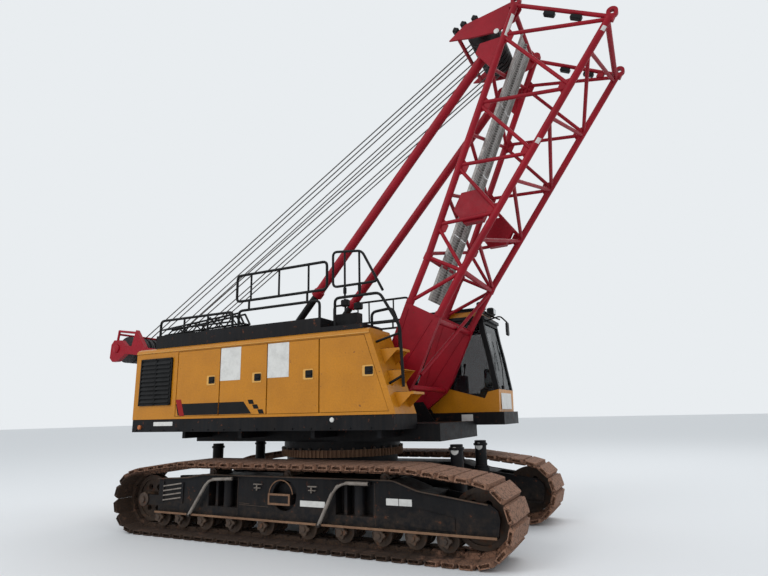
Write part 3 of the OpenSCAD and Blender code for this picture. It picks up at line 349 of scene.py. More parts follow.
def carried(made, body, slot, *nodes):
    """The piece moves with a body and stands for the named nodes; slot is not used."""
    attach(made, body)
    if nodes:
        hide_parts(*nodes)


def fitted(name, shapes, body, slot, *nodes, stuff=None, sharp=38):
    """A piece in its slot's finish, or in stuff, carried by a body in place of the named nodes."""
    carried(piece(name, shapes, stuff or finishes[slot], sharp), body, slot, *nodes)


def rounded(points, reach, n=5):
    """A row of points with each inner corner P replaced by the curve (1-t)^2 A + 2 t (1-t) P + t^2 B, where A
    and B lie reach before and after P."""
    points = np.asarray(points, float)
    before, corner, after = points[:-2], points[1:-1], points[2:]
    back, on = before - corner, after - corner
    room = 0.49 * np.minimum(np.linalg.norm(back, axis=1), np.linalg.norm(on, axis=1))
    cut = np.minimum(reach, room)[:, None]
    a, b = corner + unit(back) * cut, corner + unit(on) * cut
    t = np.linspace(0, 1, n)[None, :, None]
    curve = (1 - t) ** 2 * a[:, None] + 2 * t * (1 - t) * corner[:, None] + t ** 2 * b[:, None]
    return np.concatenate([points[:1], curve.reshape(-1, 3), points[-1:]])


def circle(sides):
    """Points (cos a, sin a) evenly round a circle of radius 1."""
    a = np.arange(sides) / sides * 2 * np.pi
    return np.stack([np.cos(a), np.sin(a)], 1)


def tube(path, radius, sides=12, loop=False):
    """A round section carried along a path p: p + r (cos a side + sin a over). Side is the normal of the
    plane that the path lies closest to, made square to its direction, and over is direction x side."""
    path = np.asarray(path, float)
    normal = np.linalg.svd(path - path.mean(0), full_matrices=True)[2][2]
    run = unit(np.roll(path, -1, 0) - np.roll(path, 1, 0)) if loop else unit(np.gradient(path, axis=0))
    side = unit(normal - (normal * run).sum(1, keepdims=True) * run)
    over = np.cross(run, side)
    ring = radius * circle(sides)[None]
    return strip(path[:, None] + ring[..., :1] * side[:, None] + ring[..., 1:] * over[:, None], loop=loop)


def turned(profile, centre, along=(0, 1, 0), sides=32, loop=False):
    """A profile of place along the axis and radius r, turned round the axis through centre: r (cos a first +
    sin a second), both square to the axis."""
    profile = np.asarray(profile, float)
    along = unit(along)
    first = unit(np.cross(along, [0.0, 0, 1] if abs(along[2]) < 0.9 else [1.0, 0, 0]))
    ring = circle(sides) @ np.stack([first, np.cross(along, first)])
    grid = np.asarray(centre, float) + profile[:, None, :1] * along + profile[:, None, 1:] * ring[None]
    return strip(grid, loop=loop)


def inset(outline, by):
    """A closed outline moved inwards: each corner goes along the sum of its two edges' inward normals, over
    one plus their dot product."""
    outline = np.asarray(outline, float)
    edge = unit(np.roll(outline, -1, 0) - outline)
    area = (outline[:, 0] * np.roll(outline[:, 1], -1) - outline[:, 1] * np.roll(outline[:, 0], -1)).sum()
    inward = np.stack([-edge[:, 1], edge[:, 0]], 1) * np.sign(area)
    before = np.roll(inward, 1, 0)
    return outline + by * (inward + before) / (1 + (inward * before).sum(1, keepdims=True))


def slab(outline, to_3d, low, high, bevel=0.003):
    """A flat outline given thickness from low to high, with chamfered edges; to_3d places (u, v, height)."""
    small = inset(outline, bevel)
    rows = [(small, low), (outline, low + bevel), (outline, high - bevel), (small, high)]
    grid = np.stack([np.column_stack([o, np.full(len(o), h)]) for o, h in rows])
    return strip(to_3d(grid))


def xz(grid):
    """Outline in X and Z, height along Y."""
    return np.stack([grid[..., 0], grid[..., 2], grid[..., 1]], -1)


def xy(grid):
    """Outline in X and Y, height along Z: the points as they are."""
    return grid


def yz(grid):
    """Outline in Y and Z, height along X."""
    return np.stack([grid[..., 2], grid[..., 0], grid[..., 1]], -1)


def round_rect(x0, x1, y0, y1, r, n=4):
    """A rectangle with quarter circles of n steps for corners, each one turned on from (x, y) to (-y, x)."""
    a = np.linspace(0, np.pi / 2, n + 1)
    arc = r * np.stack([np.cos(a), np.sin(a)], 1)
    corners = []
    for centre in ((x1 - r, y1 - r), (x0 + r, y1 - r), (x0 + r, y0 + r), (x1 - r, y0 + r)):
        corners.append(arc + centre)
        arc = arc[:, ::-1] * [-1, 1]
    return np.concatenate(corners)


def brick(x0, x1, y0, y1, z0, z1, edge=0.006):
    """A box with a small chamfer along every edge."""
    e = min(edge, 0.3 * min(x1 - x0, y1 - y0, z1 - z0))
    return slab(round_rect(x0, x1, y0, y1, e, 1), xy, z0, z1, e)


def copies(grid, faces):
    """One surface from a grid of copies of its points, with its faces counted on for each copy."""
    count, size = grid.shape[:2]
    return grid.reshape(-1, 3), [[k + c * size for k in f] for c in range(count) for f in faces]


def repeated(shape, moves):
    """Copies of one surface, moved by each row of moves."""
    return copies(shape[0][None] + np.asarray(moves, float)[:, None], shape[1])


def mirrored(shape):
    """The same surface on the machine's other side; the faces are turned out again when the piece is made."""
    points, faces = shape
    return points * [1, -1, 1], [f[::-1] for f in faces]


def on_side(shapes, side):
    """Surfaces of the right side as they are, or mirrored to the left."""
    return [mirrored(s) for s in shapes] if side == "left" else shapes


def on_boom(points):
    """Boom coordinates, along, across and over, turned to the boom's angle b at the foot pin:
    x = along cos b - over sin b, z = along sin b + over cos b."""
    p = np.asarray(points, float)
    c, s = math.cos(BOOM_ANGLE), math.sin(BOOM_ANGLE)
    x = FOOT[0] + p[..., 0] * c - p[..., 2] * s
    z = FOOT[1] + p[..., 0] * s + p[..., 2] * c
    return np.stack([x, p[..., 1], z], -1)


def on_gantry(points):
    """Gantry coordinates, rearward from the pivot, across, and down, turned to the folded angle f:
    x = -rearward cos f - down sin f, z = rearward sin f - down cos f."""
    p = np.asarray(points, float)
    c, s = math.cos(FOLD), math.sin(FOLD)
    x = PIVOT[0] - p[..., 0] * c - p[..., 2] * s
    z = PIVOT[1] + p[..., 0] * s - p[..., 2] * c
    return np.stack([x, p[..., 1], z], -1)


def placed(shapes, place):
    """Surfaces whose points a function such as on_boom puts in place."""
    return [(place(points), faces) for points, faces in shapes]


def at_y(y, table):
    """A row of x and z standing at one y."""
    table = np.asarray(table, float)
    return np.column_stack([table[:, 0], np.full(len(table), y), table[:, 1]])


place_camera()

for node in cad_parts.values():
    for place in node.material_slots:
        key = next((k for k in finishes if place.material and place.material.name.startswith(k)), None)
        if key:
            place.material = finishes[key]

# Tracks: shoes between pins, links inside them. The belt's circles are given as x, z and radius
BELT = np.array([[2.6, 0.46, 0.4], [1.72, 0.33, 0.64], [-1.72, 0.33, 0.64], [-2.6, 0.46, 0.4]])
SHOES = 64


def shoe_pins():
    """Pins evenly along a line pulled round the belt's four circles, 2 cm inside it. The line leaves circle i
    at the angle atan2(d) - acos((r_i - r_j) / |d|), and the next arc starts there."""
    circles = BELT - [0, 0, 0.02]
    d = np.roll(circles, -1, 0) - circles
    leave = np.arctan2(d[:, 1], d[:, 0]) - np.arccos(-d[:, 2] / np.hypot(d[:, 0], d[:, 1]))
    start = np.roll(leave, 1)
    angle = start[:, None] + ((leave - start) % (2 * np.pi))[:, None] * np.linspace(0, 1, 200)
    line = circles[:, None, :2] + circles[:, None, 2:] * np.stack([np.cos(angle), np.sin(angle)], -1)
    line = np.concatenate([line.reshape(-1, 2), line[0, :1]])
    length = np.concatenate([[0], np.cumsum(np.linalg.norm(np.diff(line, axis=0), axis=1))])
    at = np.arange(SHOES) / SHOES * length[-1]
    return np.stack([np.interp(at, length, line[:, 0]), np.interp(at, length, line[:, 1])], 1)


def along_belt(shape):
    """A shape of along, across and outward, repeated on the chord between each two pins."""
    points, faces = shape
    pins = shoe_pins()
    ahead = np.roll(pins, -1, 0)
    run, middle = unit(ahead - pins), (ahead + pins) / 2
    out = np.stack([run[:, 1], -run[:, 0]], 1)
    flat = middle[:, None] + points[None, :, :1] * run[:, None] + points[None, :, 2:] * out[:, None]
    across = np.broadcast_to(points[:, 1] - TRACK_Y, flat.shape[:2])
    return copies(np.stack([flat[..., 0], across, flat[..., 1]], -1), faces)


def shoe():
    """One shoe: a plate with lips that lap its neighbours, clipped corners and open box cells at its ends.
    Its sections, of along and outward, are even about the middle."""
    halves = [[(-0.104, 0.02), (-0.104, 0.038), (-0.093, 0.055), (-0.09, 0.08)],
              [(-0.06, 0.03), (-0.06, 0.045), (-0.055, 0.055), (-0.053, 0.062)]]
    face, cell = (np.array(half + [(-x, z) for x, z in half[::-1]]) for half in halves)
    end = face * [0.72, 1] + [0, -0.006] * (face[:, 1:] > 0.05)
    rows = [(-0.355, cell), (-0.4, cell), (-0.4, end), (-0.352, face), (0.352, face), (0.4, end), (0.4, cell),
            (0.355, cell)]
    return strip(np.stack([at_y(y, section) for y, section in rows]))


link_side = [(-0.1, -0.012), (-0.078, -0.035), (0.078, -0.035), (0.1, -0.012), (0.1, 0.012), (0.08, 0.03),
             (-0.08, 0.03), (-0.1, 0.012)]
links = [slab(link_side, xz, y0, y1) for y0, y1 in ((0.045, 0.125), (-0.125, -0.045))]
belt = [along_belt(shape) for shape in [shoe()] + links]
for side in ("right", "left"):
    fitted("track_shoes_" + side, on_side(belt, side), "track_" + side, "track_iron", "track_" + side,
           stuff=clay_shoes, sharp=30)


def plate_on(x0, x1, z0, z1, y=-HOOD_Y, thick=0.003, r=0.004, n=3, bevel=0.001):
    """A plate with rounded corners on the face at y, standing out from it by its thickness."""
    return slab(round_rect(x0, x1, z0, z1, r, n), xz, y - thick, y, bevel)


def standing(outline, y, half=0.005):
    """A flat plate of x and z that reaches half its thickness to each side of y."""
    return slab(outline, xz, y - half, y + half, 0.002)


def lobed(x):
    """A roller's hub with five lobes. Rows give the place outside the frame, the radius r and, for 1, lobes:
    r (1 + 0.16 cos 5a)."""
    a = np.arange(40) / 40 * 2 * np.pi
    rows = np.array([(0.0, 0.074, 1), (0.034, 0.074, 1), (0.042, 0.066, 1), (0.042, 0.034, 0),
                     (0.058, 0.03, 0), (0.058, 0.016, 0)])
    r = rows[:, 1:2] * (1 + 0.16 * rows[:, 2:] * np.cos(5 * a)[None])
    y = np.broadcast_to(-FRAME_Y - rows[:, :1], r.shape)
    return strip(np.stack([x + r * np.cos(a), y, ROLLER_Z + r * np.sin(a)], -1))


hubs = [lobed(s * x) for x in (0.335, 0.88, 1.4, 1.835, 2.23) for s in (-1, 1)]
wheel_boss = [(-FRAME_Y, 0.1), (-1.512, 0.1), (-1.518, 0.09), (-1.518, 0.05), (-1.54, 0.045), (-1.54, 0.015)]
hubs.append(turned(wheel_boss, (-2.6, 0, 0.46)))

# Frame: the lower ledge, the rim of a small box, the arched opening's edge
rim_rows = [(-1.53, (-0.236, 0.116, 0.504, 0.646)), (-1.541, (-0.236, 0.116, 0.504, 0.646)),
            (-1.541, (-0.212, 0.092, 0.528, 0.622)), (-1.53, (-0.212, 0.092, 0.528, 0.622))]
arch = [(-0.06 + 0.19 * math.cos(t), -1.497, 0.62 + 0.19 * math.sin(t)) for t in np.linspace(0.1, 3.04, 24)]
edges = [slab([(-2.3, 0.296), (2.83, 0.296), (2.83, 0.323), (-2.3, 0.323)], xz, -1.559, -1.553, 0.002),
         strip(np.stack([at_y(y, round_rect(*box, 0.004, 1)) for y, box in rim_rows]), loop=True),
         tube(arch, 0.008, 8)]

# Frame: bars and slats to step on, two small brackets
bars = [tube(rounded(at_y(-1.567, line), 0.09), 0.0235, 10) for line in (
    [(-1.6, 0.31), (-1.26, 0.79), (-0.83, 0.815)], [(0.58, 0.31), (0.8, 0.73), (0.92, 0.815), (1.29, 0.815)])]
for z in (0.46, 0.525, 0.59, 0.655):
    slat = [(-2.195, z), (-1.835, z + 0.05), (-1.835, z + 0.068), (-2.195, z + 0.018)]
    bars.append(slab(slat, xz, -1.517, -1.509, 0.002))
for x in (-0.43, 0.45):
    bars += [brick(x - 0.07, x + 0.07, -1.53, -1.496, 0.742, 0.756),
             brick(x - 0.06, x + 0.05, -1.53, -1.496, 0.695, 0.708),
             brick(x - 0.03, x - 0.012, -1.52, -1.496, 0.665, 0.742)]

# Frame: bolt heads, seams of its panels, the rounded plate edge along its top
bolts = [turned([(-1.51, 0.012), (-FRAME_Y, 0.014)], (x, 0, 0.311), sides=6)
         for x in np.arange(-2.2, 2.7, 0.24)]
bolts += [tube(at_y(-1.4965, line), 0.003, 6) for line in (
    [(-0.785, 0.33), (-0.785, 0.82)], [(1.34, 0.33), (1.34, 0.82)], [(1.5, 0.45), (2.3, 0.42), (2.3, 0.34)],
    [(-0.76, 0.475), (-0.26, 0.466)], [(-0.76, 0.497), (-0.58, 0.49)])]
top_line = [(-2.3, 0.768), (-1.69, 0.798), (-1.42, 0.848), (1.59, 0.858), (1.91, 0.75), (2.74, 0.64)]
bolts.append(tube(rounded(at_y(-1.522, top_line), 0.05), 0.009, 8))
for side in ("right", "left"):
    fitted("roller_hubs_" + side, on_side(hubs, side), "track_" + side, "roller_iron")
    fitted("frame_edges_" + side, on_side(edges, side), "track_" + side, "ring_iron")
    fitted("boarding_bars_" + side, on_side(bars, side), "track_" + side, "machinery_grey", stuff=dusty_steel)
    fitted("frame_bolts_" + side, on_side(bolts, side), "track_" + side, "roller_iron")
frame_plates = [plate_on(*box, -FRAME_Y, 0.0035, n=2) for box in (
    (1.49, 1.652, 0.575, 0.652), (1.66, 1.825, 0.575, 0.652), (0.25, 0.629, 0.5, 0.572))]
fitted("frame_plates_right", frame_plates, "track_right", "body_yellow", stuff=white_plate)

# Carbody: jack pads and their collars, bolts of the slewing ring
discs = [turned([(y - 0.09, 0.045), (y - 0.088, 0.05), (y - 0.06, 0.05)], (JACK_X, 0, 1.14))
         for y in (-JACK_Y, JACK_Y)]
collars = []
for spot in [(sx * JACK_X, sy * JACK_Y, 0) for sx in (-1, 1) for sy in (-1, 1)]:
    collars += [turned([(z, 0.085), (z, 0.102), (z + 0.03, 0.102), (z + 0.036, 0.085)], spot, UP, loop=True)
                for z in (0.83, 1.15)]
    collars.append(turned([(0.37, 0.15), (0.385, 0.16), (0.395, 0.16), (0.396, 0.06)], spot, UP))
fitted("jack_marks", discs, "carbody", "body_yellow", stuff=white_plate)
fitted("jack_collars", collars, "carbody", "frame_black")
ring_bolt = turned([(1.15, 0.02), (1.172, 0.02), (1.18, 0.012)], (0, 0, 0), UP, 6)
ring_bolts = repeated(ring_bolt, np.column_stack([0.93 * circle(36), np.zeros(36)]))
fitted("ring_bolts", [ring_bolts], "upper", "roller_iron")

# Sheaves: a hub, a thin web and a rim with a groove, profile of place along the axis and radius
head = on_boom((HOIST[0], 0, HOIST[1]))
tail = on_gantry((GANTRY_LEN, 0, 0))
for node, body, centre, reach, bore in (("hoist_sheaves", "boom", head, 0.4, 0.0557),
                                        ("gantry_sheaves", "gantry", tail, 0.5, 0.0607)):
    half = [(-0.03, bore), (-0.03, 0.085), (-0.014, 0.092), (-0.012, 0.18), (-0.027, 0.202), (-0.03, 0.25),
            (-0.02, 0.25), (-0.011, 0.229)]
    groove = half + [(0, 0.222)] + [(-y, r) for y, r in half[::-1]]
    sheaves = [turned(groove, centre + [0, y, 0], sides=48, loop=True) for y in np.linspace(-reach, reach, 9)]
    fitted(node + "_grooved", sheaves, body, "sheave_black", node)

# Hoist ropes, each in two halves that meet at rest in the middle: tangents of the sheaves, above and below
SHEAVE_R, ROPE_R = 0.236, 0.0105
run = unit(head - tail)
lift = np.array([-run[2], 0, run[0]]) * SHEAVE_R
used = {1: (3, 4, 5, 7, 8), -1: (3, 4, 6, 7, 8)}
lines = np.array([[tail + [0, -0.5 + 0.125 * k, 0] + s * lift, head + [0, -0.4 + 0.1 * k, 0] + s * lift]
                  for s in used for k in used[s]])
middles = lines.mean(1)
centre = middles.mean(0)
for name, bodies, starts, ends, start, end in (
        ("gantry", ("gantry", "upper"), lines[:, 0], middles, tail + 0.35 * run, centre - 0.05 * run),
        ("boom", ("upper", "boom"), middles, lines[:, 1], centre + 0.05 * run, head - 0.35 * run)):
    ropes = [tube(np.linspace(p, q, 24), ROPE_R, 8) for p, q in zip(starts, ends)]
    half = piece("hoist_ropes_at_" + name, ropes, rope_finish)
    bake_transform(half)

# Rope wound on the drums: with the lay, 22.2 mm, the radius falls by 11 mm (1 - |sin(pi place / lay)|)
LAY, DRUM_HALF = 0.0222, 0.366
for name, x, reach in (("front", 0.3, 0.262), ("middle", -0.43, 0.245), ("rear", -1.13, 0.235)):
    place = np.linspace(-DRUM_HALF, DRUM_HALF, 33 * 4 + 1)
    wound = reach - 0.011 * (1 - np.abs(np.sin(np.pi * (place + DRUM_HALF) / LAY)))
    wound = turned(np.column_stack([place, wound]), (x, 0, 2.0), sides=40)
    fitted("drum_rope_" + name, [wound], "drum_" + name, "machinery_grey", stuff=rope_finish)


def rail(y, table, r=0.02, bend=0.07, loop=False):
    """A bent pipe at one y, through a row of x and z; a closed one has its last corner rounded too."""
    path = at_y(y, table)
    if loop:
        start = (path[:1] + path[1:2]) / 2
        return tube(rounded(np.concatenate([start, path[1:], path[:1], start]), bend)[:-1], r, 10, True)
    return tube(rounded(path, bend), r, 10)


def post(x, y, z0, z1, r, sides=10):
    """An upright pipe from z0 to z1."""
    return tube([[x, y, z] for z in (z0, z1)], r, sides)


def main_rails(y, z):
    """Handrail of either side of the walkway: a low hoop from z, a tall frame over it, posts, foot rims."""
    low = [(-0.98, z), (-0.98, RAIL_Z), (0.47, RAIL_Z), (0.47, z)]
    tall = [(-1.03, 3.345), (-1.03, 3.75), (0.59, 3.75), (0.59, 3.345)]
    foot = [(z, 0.045), (z + 0.008, 0.045), (z + 0.008, 0.021)]
    made = [rail(y, low), rail(y, tall, loop=True)]
    made += [post(x, y, 3.345, 3.75, 0.015) for x in (-0.76, -0.24, 0.28)]
    made += [post(x, y, RAIL_Z, 3.345, 0.017) for x in (-0.79, 0.26)]
    made += [turned(foot, (x, y, 0), UP, 20) for x in (-0.98, 0.47)]
    return made


def slope_x(z):
    """Place of the hood's slanted front: 1.65 at the deck's z of 1.63, 0.37 further back 1.11 higher."""
    return 1.65 - 0.37 * (z - 1.63) / 1.11


right = main_rails(-RAIL_Y, TRAY_Z)
right.append(rail(-RAIL_Y, [(0.72, TRAY_Z), (0.72, RAIL_Z), (1.41, RAIL_Z), (1.69, 2.73), (1.72, 1.96)]))
right.append(rail(-RAIL_Y, [(0.69, 3.36), (0.69, 3.87), (1.15, 3.82), (1.39, 3.36)], 0.018, loop=True))
right += [post(0.88, -RAIL_Y, 3.2203, 3.855, 0.015), post(1.11, -RAIL_Y, 3.2203, 3.815, 0.015)]
right += [tube([[slope_x(z - 0.016), -RAIL_Y, z], [x, -RAIL_Y, z + 0.09]], 0.016, 10)
          for z, x in ((2.55, 1.694), (2.01, 1.715))]
right.append(tube([[1.375, -RAIL_Y, 3.39], [1.46, -RAIL_Y, 3.226]], 0.018, 10))
right += [post(0.88, -RAIL_Y, 3.25, 3.33, 0.024), post(1.11, -RAIL_Y, 3.27, 3.34, 0.024)]
right.append(rail(-RAIL_Y, [(-2.62, TRAY_Z), (-2.62, RAIL_Z), (-1.1, RAIL_Z), (-1.1, TRAY_Z)]))
right.append(tube([[-2.62, -RAIL_Y, 3.05], [-1.1, -RAIL_Y, 3.05]], 0.014, 10))
right += [post(x, -RAIL_Y, TRAY_Z, RAIL_Z, 0.016) for x in (-2.1, -1.6)]
right.append(rail(-1.1, [(1.13, TRAY_Z), (1.13, 3.01), (1.45, 3.04), (1.54, 2.79), (1.548, 2.462)]))
right.append(tube([[1.13, -1.1, 2.85], [1.526, -1.1, 2.85]], 0.016, 10))
fitted("handrails_right_bent", right, "upper", "trim_black", "handrails_right")
fitted("handrails_left_bent", main_rails(RAIL_Y, 2.7403), "upper", "trim_black", "handrails_left")

# Folded lattice frames behind the rear rails: long bars with diagonals between them
folded = []
low, top = 2.99, 3.21
for y in (-1.24, -1.1):
    folded += [tube([[x0, y, z0], [x1, y, z1]], 0.016, 8) for x0, z0, x1, z1 in (
        (-2.7, low, -1.02, low + 0.05), (-2.7, low + 0.1, -1.12, top), (-1.12, top, -1.02, low + 0.05))]
    zig = np.array([[-2.7 + 1.6 * t, y, low + 0.05 * t + (0.1 + 0.13 * t) * (i % 2)]
                    for i, t in enumerate(np.linspace(0.04, 0.96, 9))])
    folded += [tube(zig[i:i + 2], 0.011, 8) for i in range(8)]
folded += [tube([[x, -1.24, z], [x, -1.1, z]], 0.012, 8)
           for x, z in ((-2.66, low), (-1.9, 3.01), (-1.04, 3.04))]
folded += [brick(x - 0.03, x + 0.03, -1.27, -1.07, TRAY_Z, low) for x in (-2.5, -1.25)]
fitted("folded_frames", folded, "upper", "trim_black")


def boom_depth(x):
    """Half the boom's depth at x along it: straight between 0.24 at 1.51, 0.28 at 2.22 and 0.7 at 6.15."""
    return np.interp(x, [1.51, 2.22, 6.15], [0.24, 0.28, 0.7])


# Planks of the boom's walkway, with edges folded down
planks = []
section = np.array([(0, 0), (0.267, 0), (0.267, -0.04), (0.263, -0.04), (0.263, -0.004), (0.004, -0.004),
                    (0.004, -0.04), (0, -0.04)])
ends = np.linspace(1.66, 5.95, 5)
for x0, x1 in zip(ends[:-1], ends[1:]):
    for y0 in (-0.27, 0.003):
        rows = [np.column_stack([np.full(8, x), y0 + section[:, 0], boom_depth(x) - 0.0384 + section[:, 1]])
                for x in (x0 + 0.004, x1 - 0.004)]
        planks.append(strip(on_boom(np.stack(rows))))
fitted("boom_planks", planks, "boom", "galvanised", "boom_walkway")

# Latches, each on the door that it shuts: a rim painted lighter yellow, a highlight for the lit wall of the
# recess, round a black pan with its handle and lock
for k, x in enumerate((-1.36, -0.5, 0.374, 1.288), 1):
    # Painted highlight: the rim's lighter yellow stands for light on the recess's wall
    rim = plate_on(x - 0.1, x + 0.068, 2.105, 2.25, thick=0.006, r=0.02, n=4, bevel=0.004)
    pan = [plate_on(x - 0.06, x + 0.06, 2.128, 2.232, -HOOD_Y - 0.005, 0.0025, 0.014, 4),
           plate_on(x - 0.045, x + 0.03, 2.16, 2.2, -HOOD_Y - 0.007, 0.013, 0.012, 4, 0.004),
           turned([(-0.025, 0.012), (-0.023, 0.014), (-0.006, 0.014)], (x + 0.04, -HOOD_Y, 2.18), sides=16)]
    fitted(f"latch_rim_painted_highlight_{k}", [rim], f"hood_door_{k}", "body_yellow", stuff=painted_highlight_yellow)
    fitted(f"latch_{k}", pan, f"hood_door_{k}", "trim_black")
rim = mirrored(plate_on(-0.58, -0.42, 2.11, 2.25, thick=0.006, r=0.02, n=4, bevel=0.004))
pan = mirrored(plate_on(-0.56, -0.44, 2.128, 2.232, -HOOD_Y - 0.005, 0.0025, 0.014, 4))
fitted("latch_rim_painted_highlight_left", [rim], "hood_door_left", "body_yellow", stuff=painted_highlight_yellow)
fitted("latch_left", [pan], "hood_door_left", "trim_black")

# Blank signs and stripes of film on the doors of the right hood
for name, door, x0, x1 in (("sign_1", "hood_door_2", -1.2, -0.82), ("sign_2", "hood_door_3", -0.33, 0.036)):
    fitted(name, [plate_on(x0, x1, 2.16, 2.64)], door, "body_yellow", stuff=white_plate)
low, top = 1.68, 1.85
squares = [[(x - 0.03, z - 0.03), (x + 0.06, z - 0.03), (x + 0.03, z + 0.03), (x - 0.06, z + 0.03)]
           for x, z in ((-0.61, 1.842), (-0.525, 1.775), (-0.43, 1.706))]
for name, door, slot, stuff, thick, outlines in (
        ("black_band_1", "hood_door_1", "trim_black", stripe_black, 0.002,
         [[(-2.015, low), (-1.217, low), (-1.217, top), (-2.065, top)]]),
        ("black_band_2", "hood_door_2", "trim_black", stripe_black, 0.002,
         [[(-1.2, low), (-0.596, low), (-0.743, top), (-1.2, top)]]),
        ("red_slash", "hood_door_1", "boom_red", stripe_red, 0.003,
         [[(-2.075, 1.916), (-1.965, 1.916), (-1.88, 1.672), (-1.98, 1.672)]]),
        ("black_squares", "hood_door_2", "trim_black", stripe_black, 0.002, squares)):
    film = [slab(outline, xz, -HOOD_Y - thick, -HOOD_Y, 0.0007) for outline in outlines]
    fitted(name, film, door, slot, stuff=stuff)

# Deck edge: a lamp, a marker, a plate and bolts; along the hood's lid, a thin lighter line that is a painted
# highlight
dot = turned([(-DECK_Y - 0.012, 0.02), (-DECK_Y - 0.008, 0.03), (-DECK_Y, 0.032)], (0.727, 0, 1.574))
dots = [dot, plate_on(-2.528, -2.122, 1.53, 1.59, -DECK_Y)]
fitted("deck_dot", dots, "upper", "body_yellow", stuff=white_plate)
marker = [(-DECK_Y - 0.03, 0.022), (-DECK_Y - 0.02, 0.034), (-DECK_Y, 0.036)]
marker = turned(marker, (-2.826, 0, 1.513), sides=24)
fitted("deck_marker", [marker], "upper", "body_yellow", stuff=amber_lens)
# Painted highlight: thin tubes in the lighter yellow along the hood's lid, for the light along its edge
lid_highlight_lines = [tube([[-2.98, -1.5145, 2.67], [x, -1.5145, 2.67]], r, 8) for x, r in ((1.3, 0.0055), (0.66, 0.0045))]
fitted("lid_painted_highlight", [lid_highlight_lines[0], mirrored(lid_highlight_lines[1])], "upper", "body_yellow", stuff=painted_highlight_yellow)
x = np.arange(-2.9, 1.6, 0.3)
deck_bolt = turned([(-1.503, 0.011), (-DECK_Y, 0.012)], (0, 0, 1.465), sides=6)
deck_bolts = repeated(deck_bolt, np.column_stack([x, 0 * x, 0 * x]))
fitted("deck_bolts", [deck_bolts, mirrored(deck_bolts)], "upper", "trim_black")

# Louvre: two columns of blades in a frame, each tipped outwards at its foot
blades = [slab([(-1.511, z + 0.05), (-1.514, z + 0.05), (-1.534, z + 0.004), (-1.53, z)], yz, x0, x1, 0.0008)
          for x0, x1 in ((-2.835, -2.535), (-2.515, -2.215)) for z in 1.88 + 0.066 * np.arange(10)]
blades += [plate_on(-2.87, -2.18, z, z + 0.026, -1.512, 0.014) for z in (1.84, 2.546)]
blades += [plate_on(x - 0.012, x + 0.012, 1.84, 2.57, -1.512, 0.014) for x in (-2.86, -2.525, -2.19)]
fitted("louvre_blades", blades, "upper", "trim_black")

# Boarding steps: bars of their treads, and the middle step on its two webs
treads = []
for z in (1.9, 2.18, 2.46):
    treads += [brick(x + 0.02, x + 0.034, *STEP_Y, z, z + 0.006, 0.002)
               for x in slope_x(z) + 0.045 * np.arange(5)]
fitted("step_treads", treads, "upper", "roller_iron")
x, z = slope_x(2.18), 2.18
web = [(slope_x(z - 0.2), z - 0.2), (x + 0.24, z - 0.008), (x, z - 0.008)]
step = [brick(x - 0.001, x + 0.252, *STEP_Y, z - 0.008, z, 0.003)]
step += [slab(web, xz, y, y + 0.008, 0.001) for y in (-1.338, -1.02)]
fitted("middle_step", step, "upper", "body_yellow")

# Lamps on the walkway
lamps, lenses = [], []
for x, z in ((0.643, 3.213), (0.858, 3.146)):
    lamps += [brick(x - 0.06, x + 0.06, -1.03, -0.95, z - 0.05, z + 0.05, 0.012),
              post(x, -1.0, 3.04, z - 0.04, 0.01),
              turned([(z + 0.05, 0.012), (z + 0.06, 0.02)], (x, -1.0, 0), UP, 16)]
    lenses.append(plate_on(x - 0.048, x + 0.048, z - 0.038, z + 0.038, -0.944, 0.006, 0.01, 4, 0.002))
fitted("work_lamps", lamps, "upper", "trim_black")
fitted("work_lamp_lenses", lenses, "upper", "machinery_grey", stuff=lamp_lens)

# Boom: blocks of rollers at its head
blocks = [brick(5.985, 6.05, y - 0.04, y + 0.04, z - 0.08, z + 0.08, 0.01)
          for y in (-CHORD_Y, CHORD_Y) for z in (0.13, -0.26)]
blocks += [brick(x - 0.04, x + 0.04, -0.6, -0.5, z, z + 0.09, 0.012) for x, z in (
    (5.78, 1.42), (5.9, 1.28), (5.66, 1.5))]
fitted("head_roller_blocks", placed(blocks, on_boom), "boom", "trim_black")

# Boom: gusset plates over and under, ribs and rims on the foot plates, a small box at the head
gussets = []
for over, places in ((1, (2.69, 3.59, 4.55, 5.61)), (-1, (3.15, 4.07, 5.05))):
    for x in places:
        outline = [(x + a, over * (boom_depth(x + b) - c)) for a, b, c in (
            (-0.13, -0.13, 0.03), (0.13, 0.13, 0.03), (0.05, 0, 0.14), (-0.05, 0, 0.14))]
        gussets += [standing(outline, y, 0.006) for y in (-CHORD_Y, CHORD_Y)]
gussets += [standing([(0.2, z0), (1.44, z1), (1.44, z1 + 0.014), (0.2, z0 + 0.014)], y)
            for y in (-0.764, -0.676, 0.676, 0.764) for z0, z1 in ((0.03, 0.2), (-0.03, -0.2))]
gussets += [turned([(y, 0.1), (y, 0.06), (y + 0.008, 0.06), (y + 0.008, 0.1)], (0, 0, 0), loop=True)
            for y in (-0.768, 0.76)]
gussets.append(brick(5.985, 6.065, 0.68, 0.76, -0.5, -0.4))
fitted("boom_gussets", placed(gussets, on_boom), "boom", "boom_red")


def chord_mark(x0, x1, up, facing):
    """A strip that lies on the near chord, 1 mm thick and 1.2 radians wide, from x0 to x1 along the boom."""
    a = facing + np.append(np.linspace(-0.6, 0.6, 8), np.linspace(0.6, -0.6, 8))
    r = np.append(np.full(8, 0.0508), np.full(8, 0.0498))
    rows = [np.column_stack([np.full(16, x), r * np.cos(a) - CHORD_Y, up * boom_depth(x) + r * np.sin(a)])
            for x in (x0, x1)]
    return strip(on_boom(np.stack(rows)))


marks = [chord_mark(5.6, 5.93, 1, -2.2), chord_mark(5.86, 5.93, -1, -2.6), chord_mark(4.18, 4.26, -1, -2.6)]
fitted("chord_marks", marks, "boom", "body_yellow", stuff=white_plate)
horn_dot = turned([(-0.636, 0.035), (-0.634, 0.04), (-0.628, 0.04)], (3.05, 0, 7.13), sides=24)
fitted("horn_dot", [horn_dot], "boom", "body_yellow", stuff=white_plate)

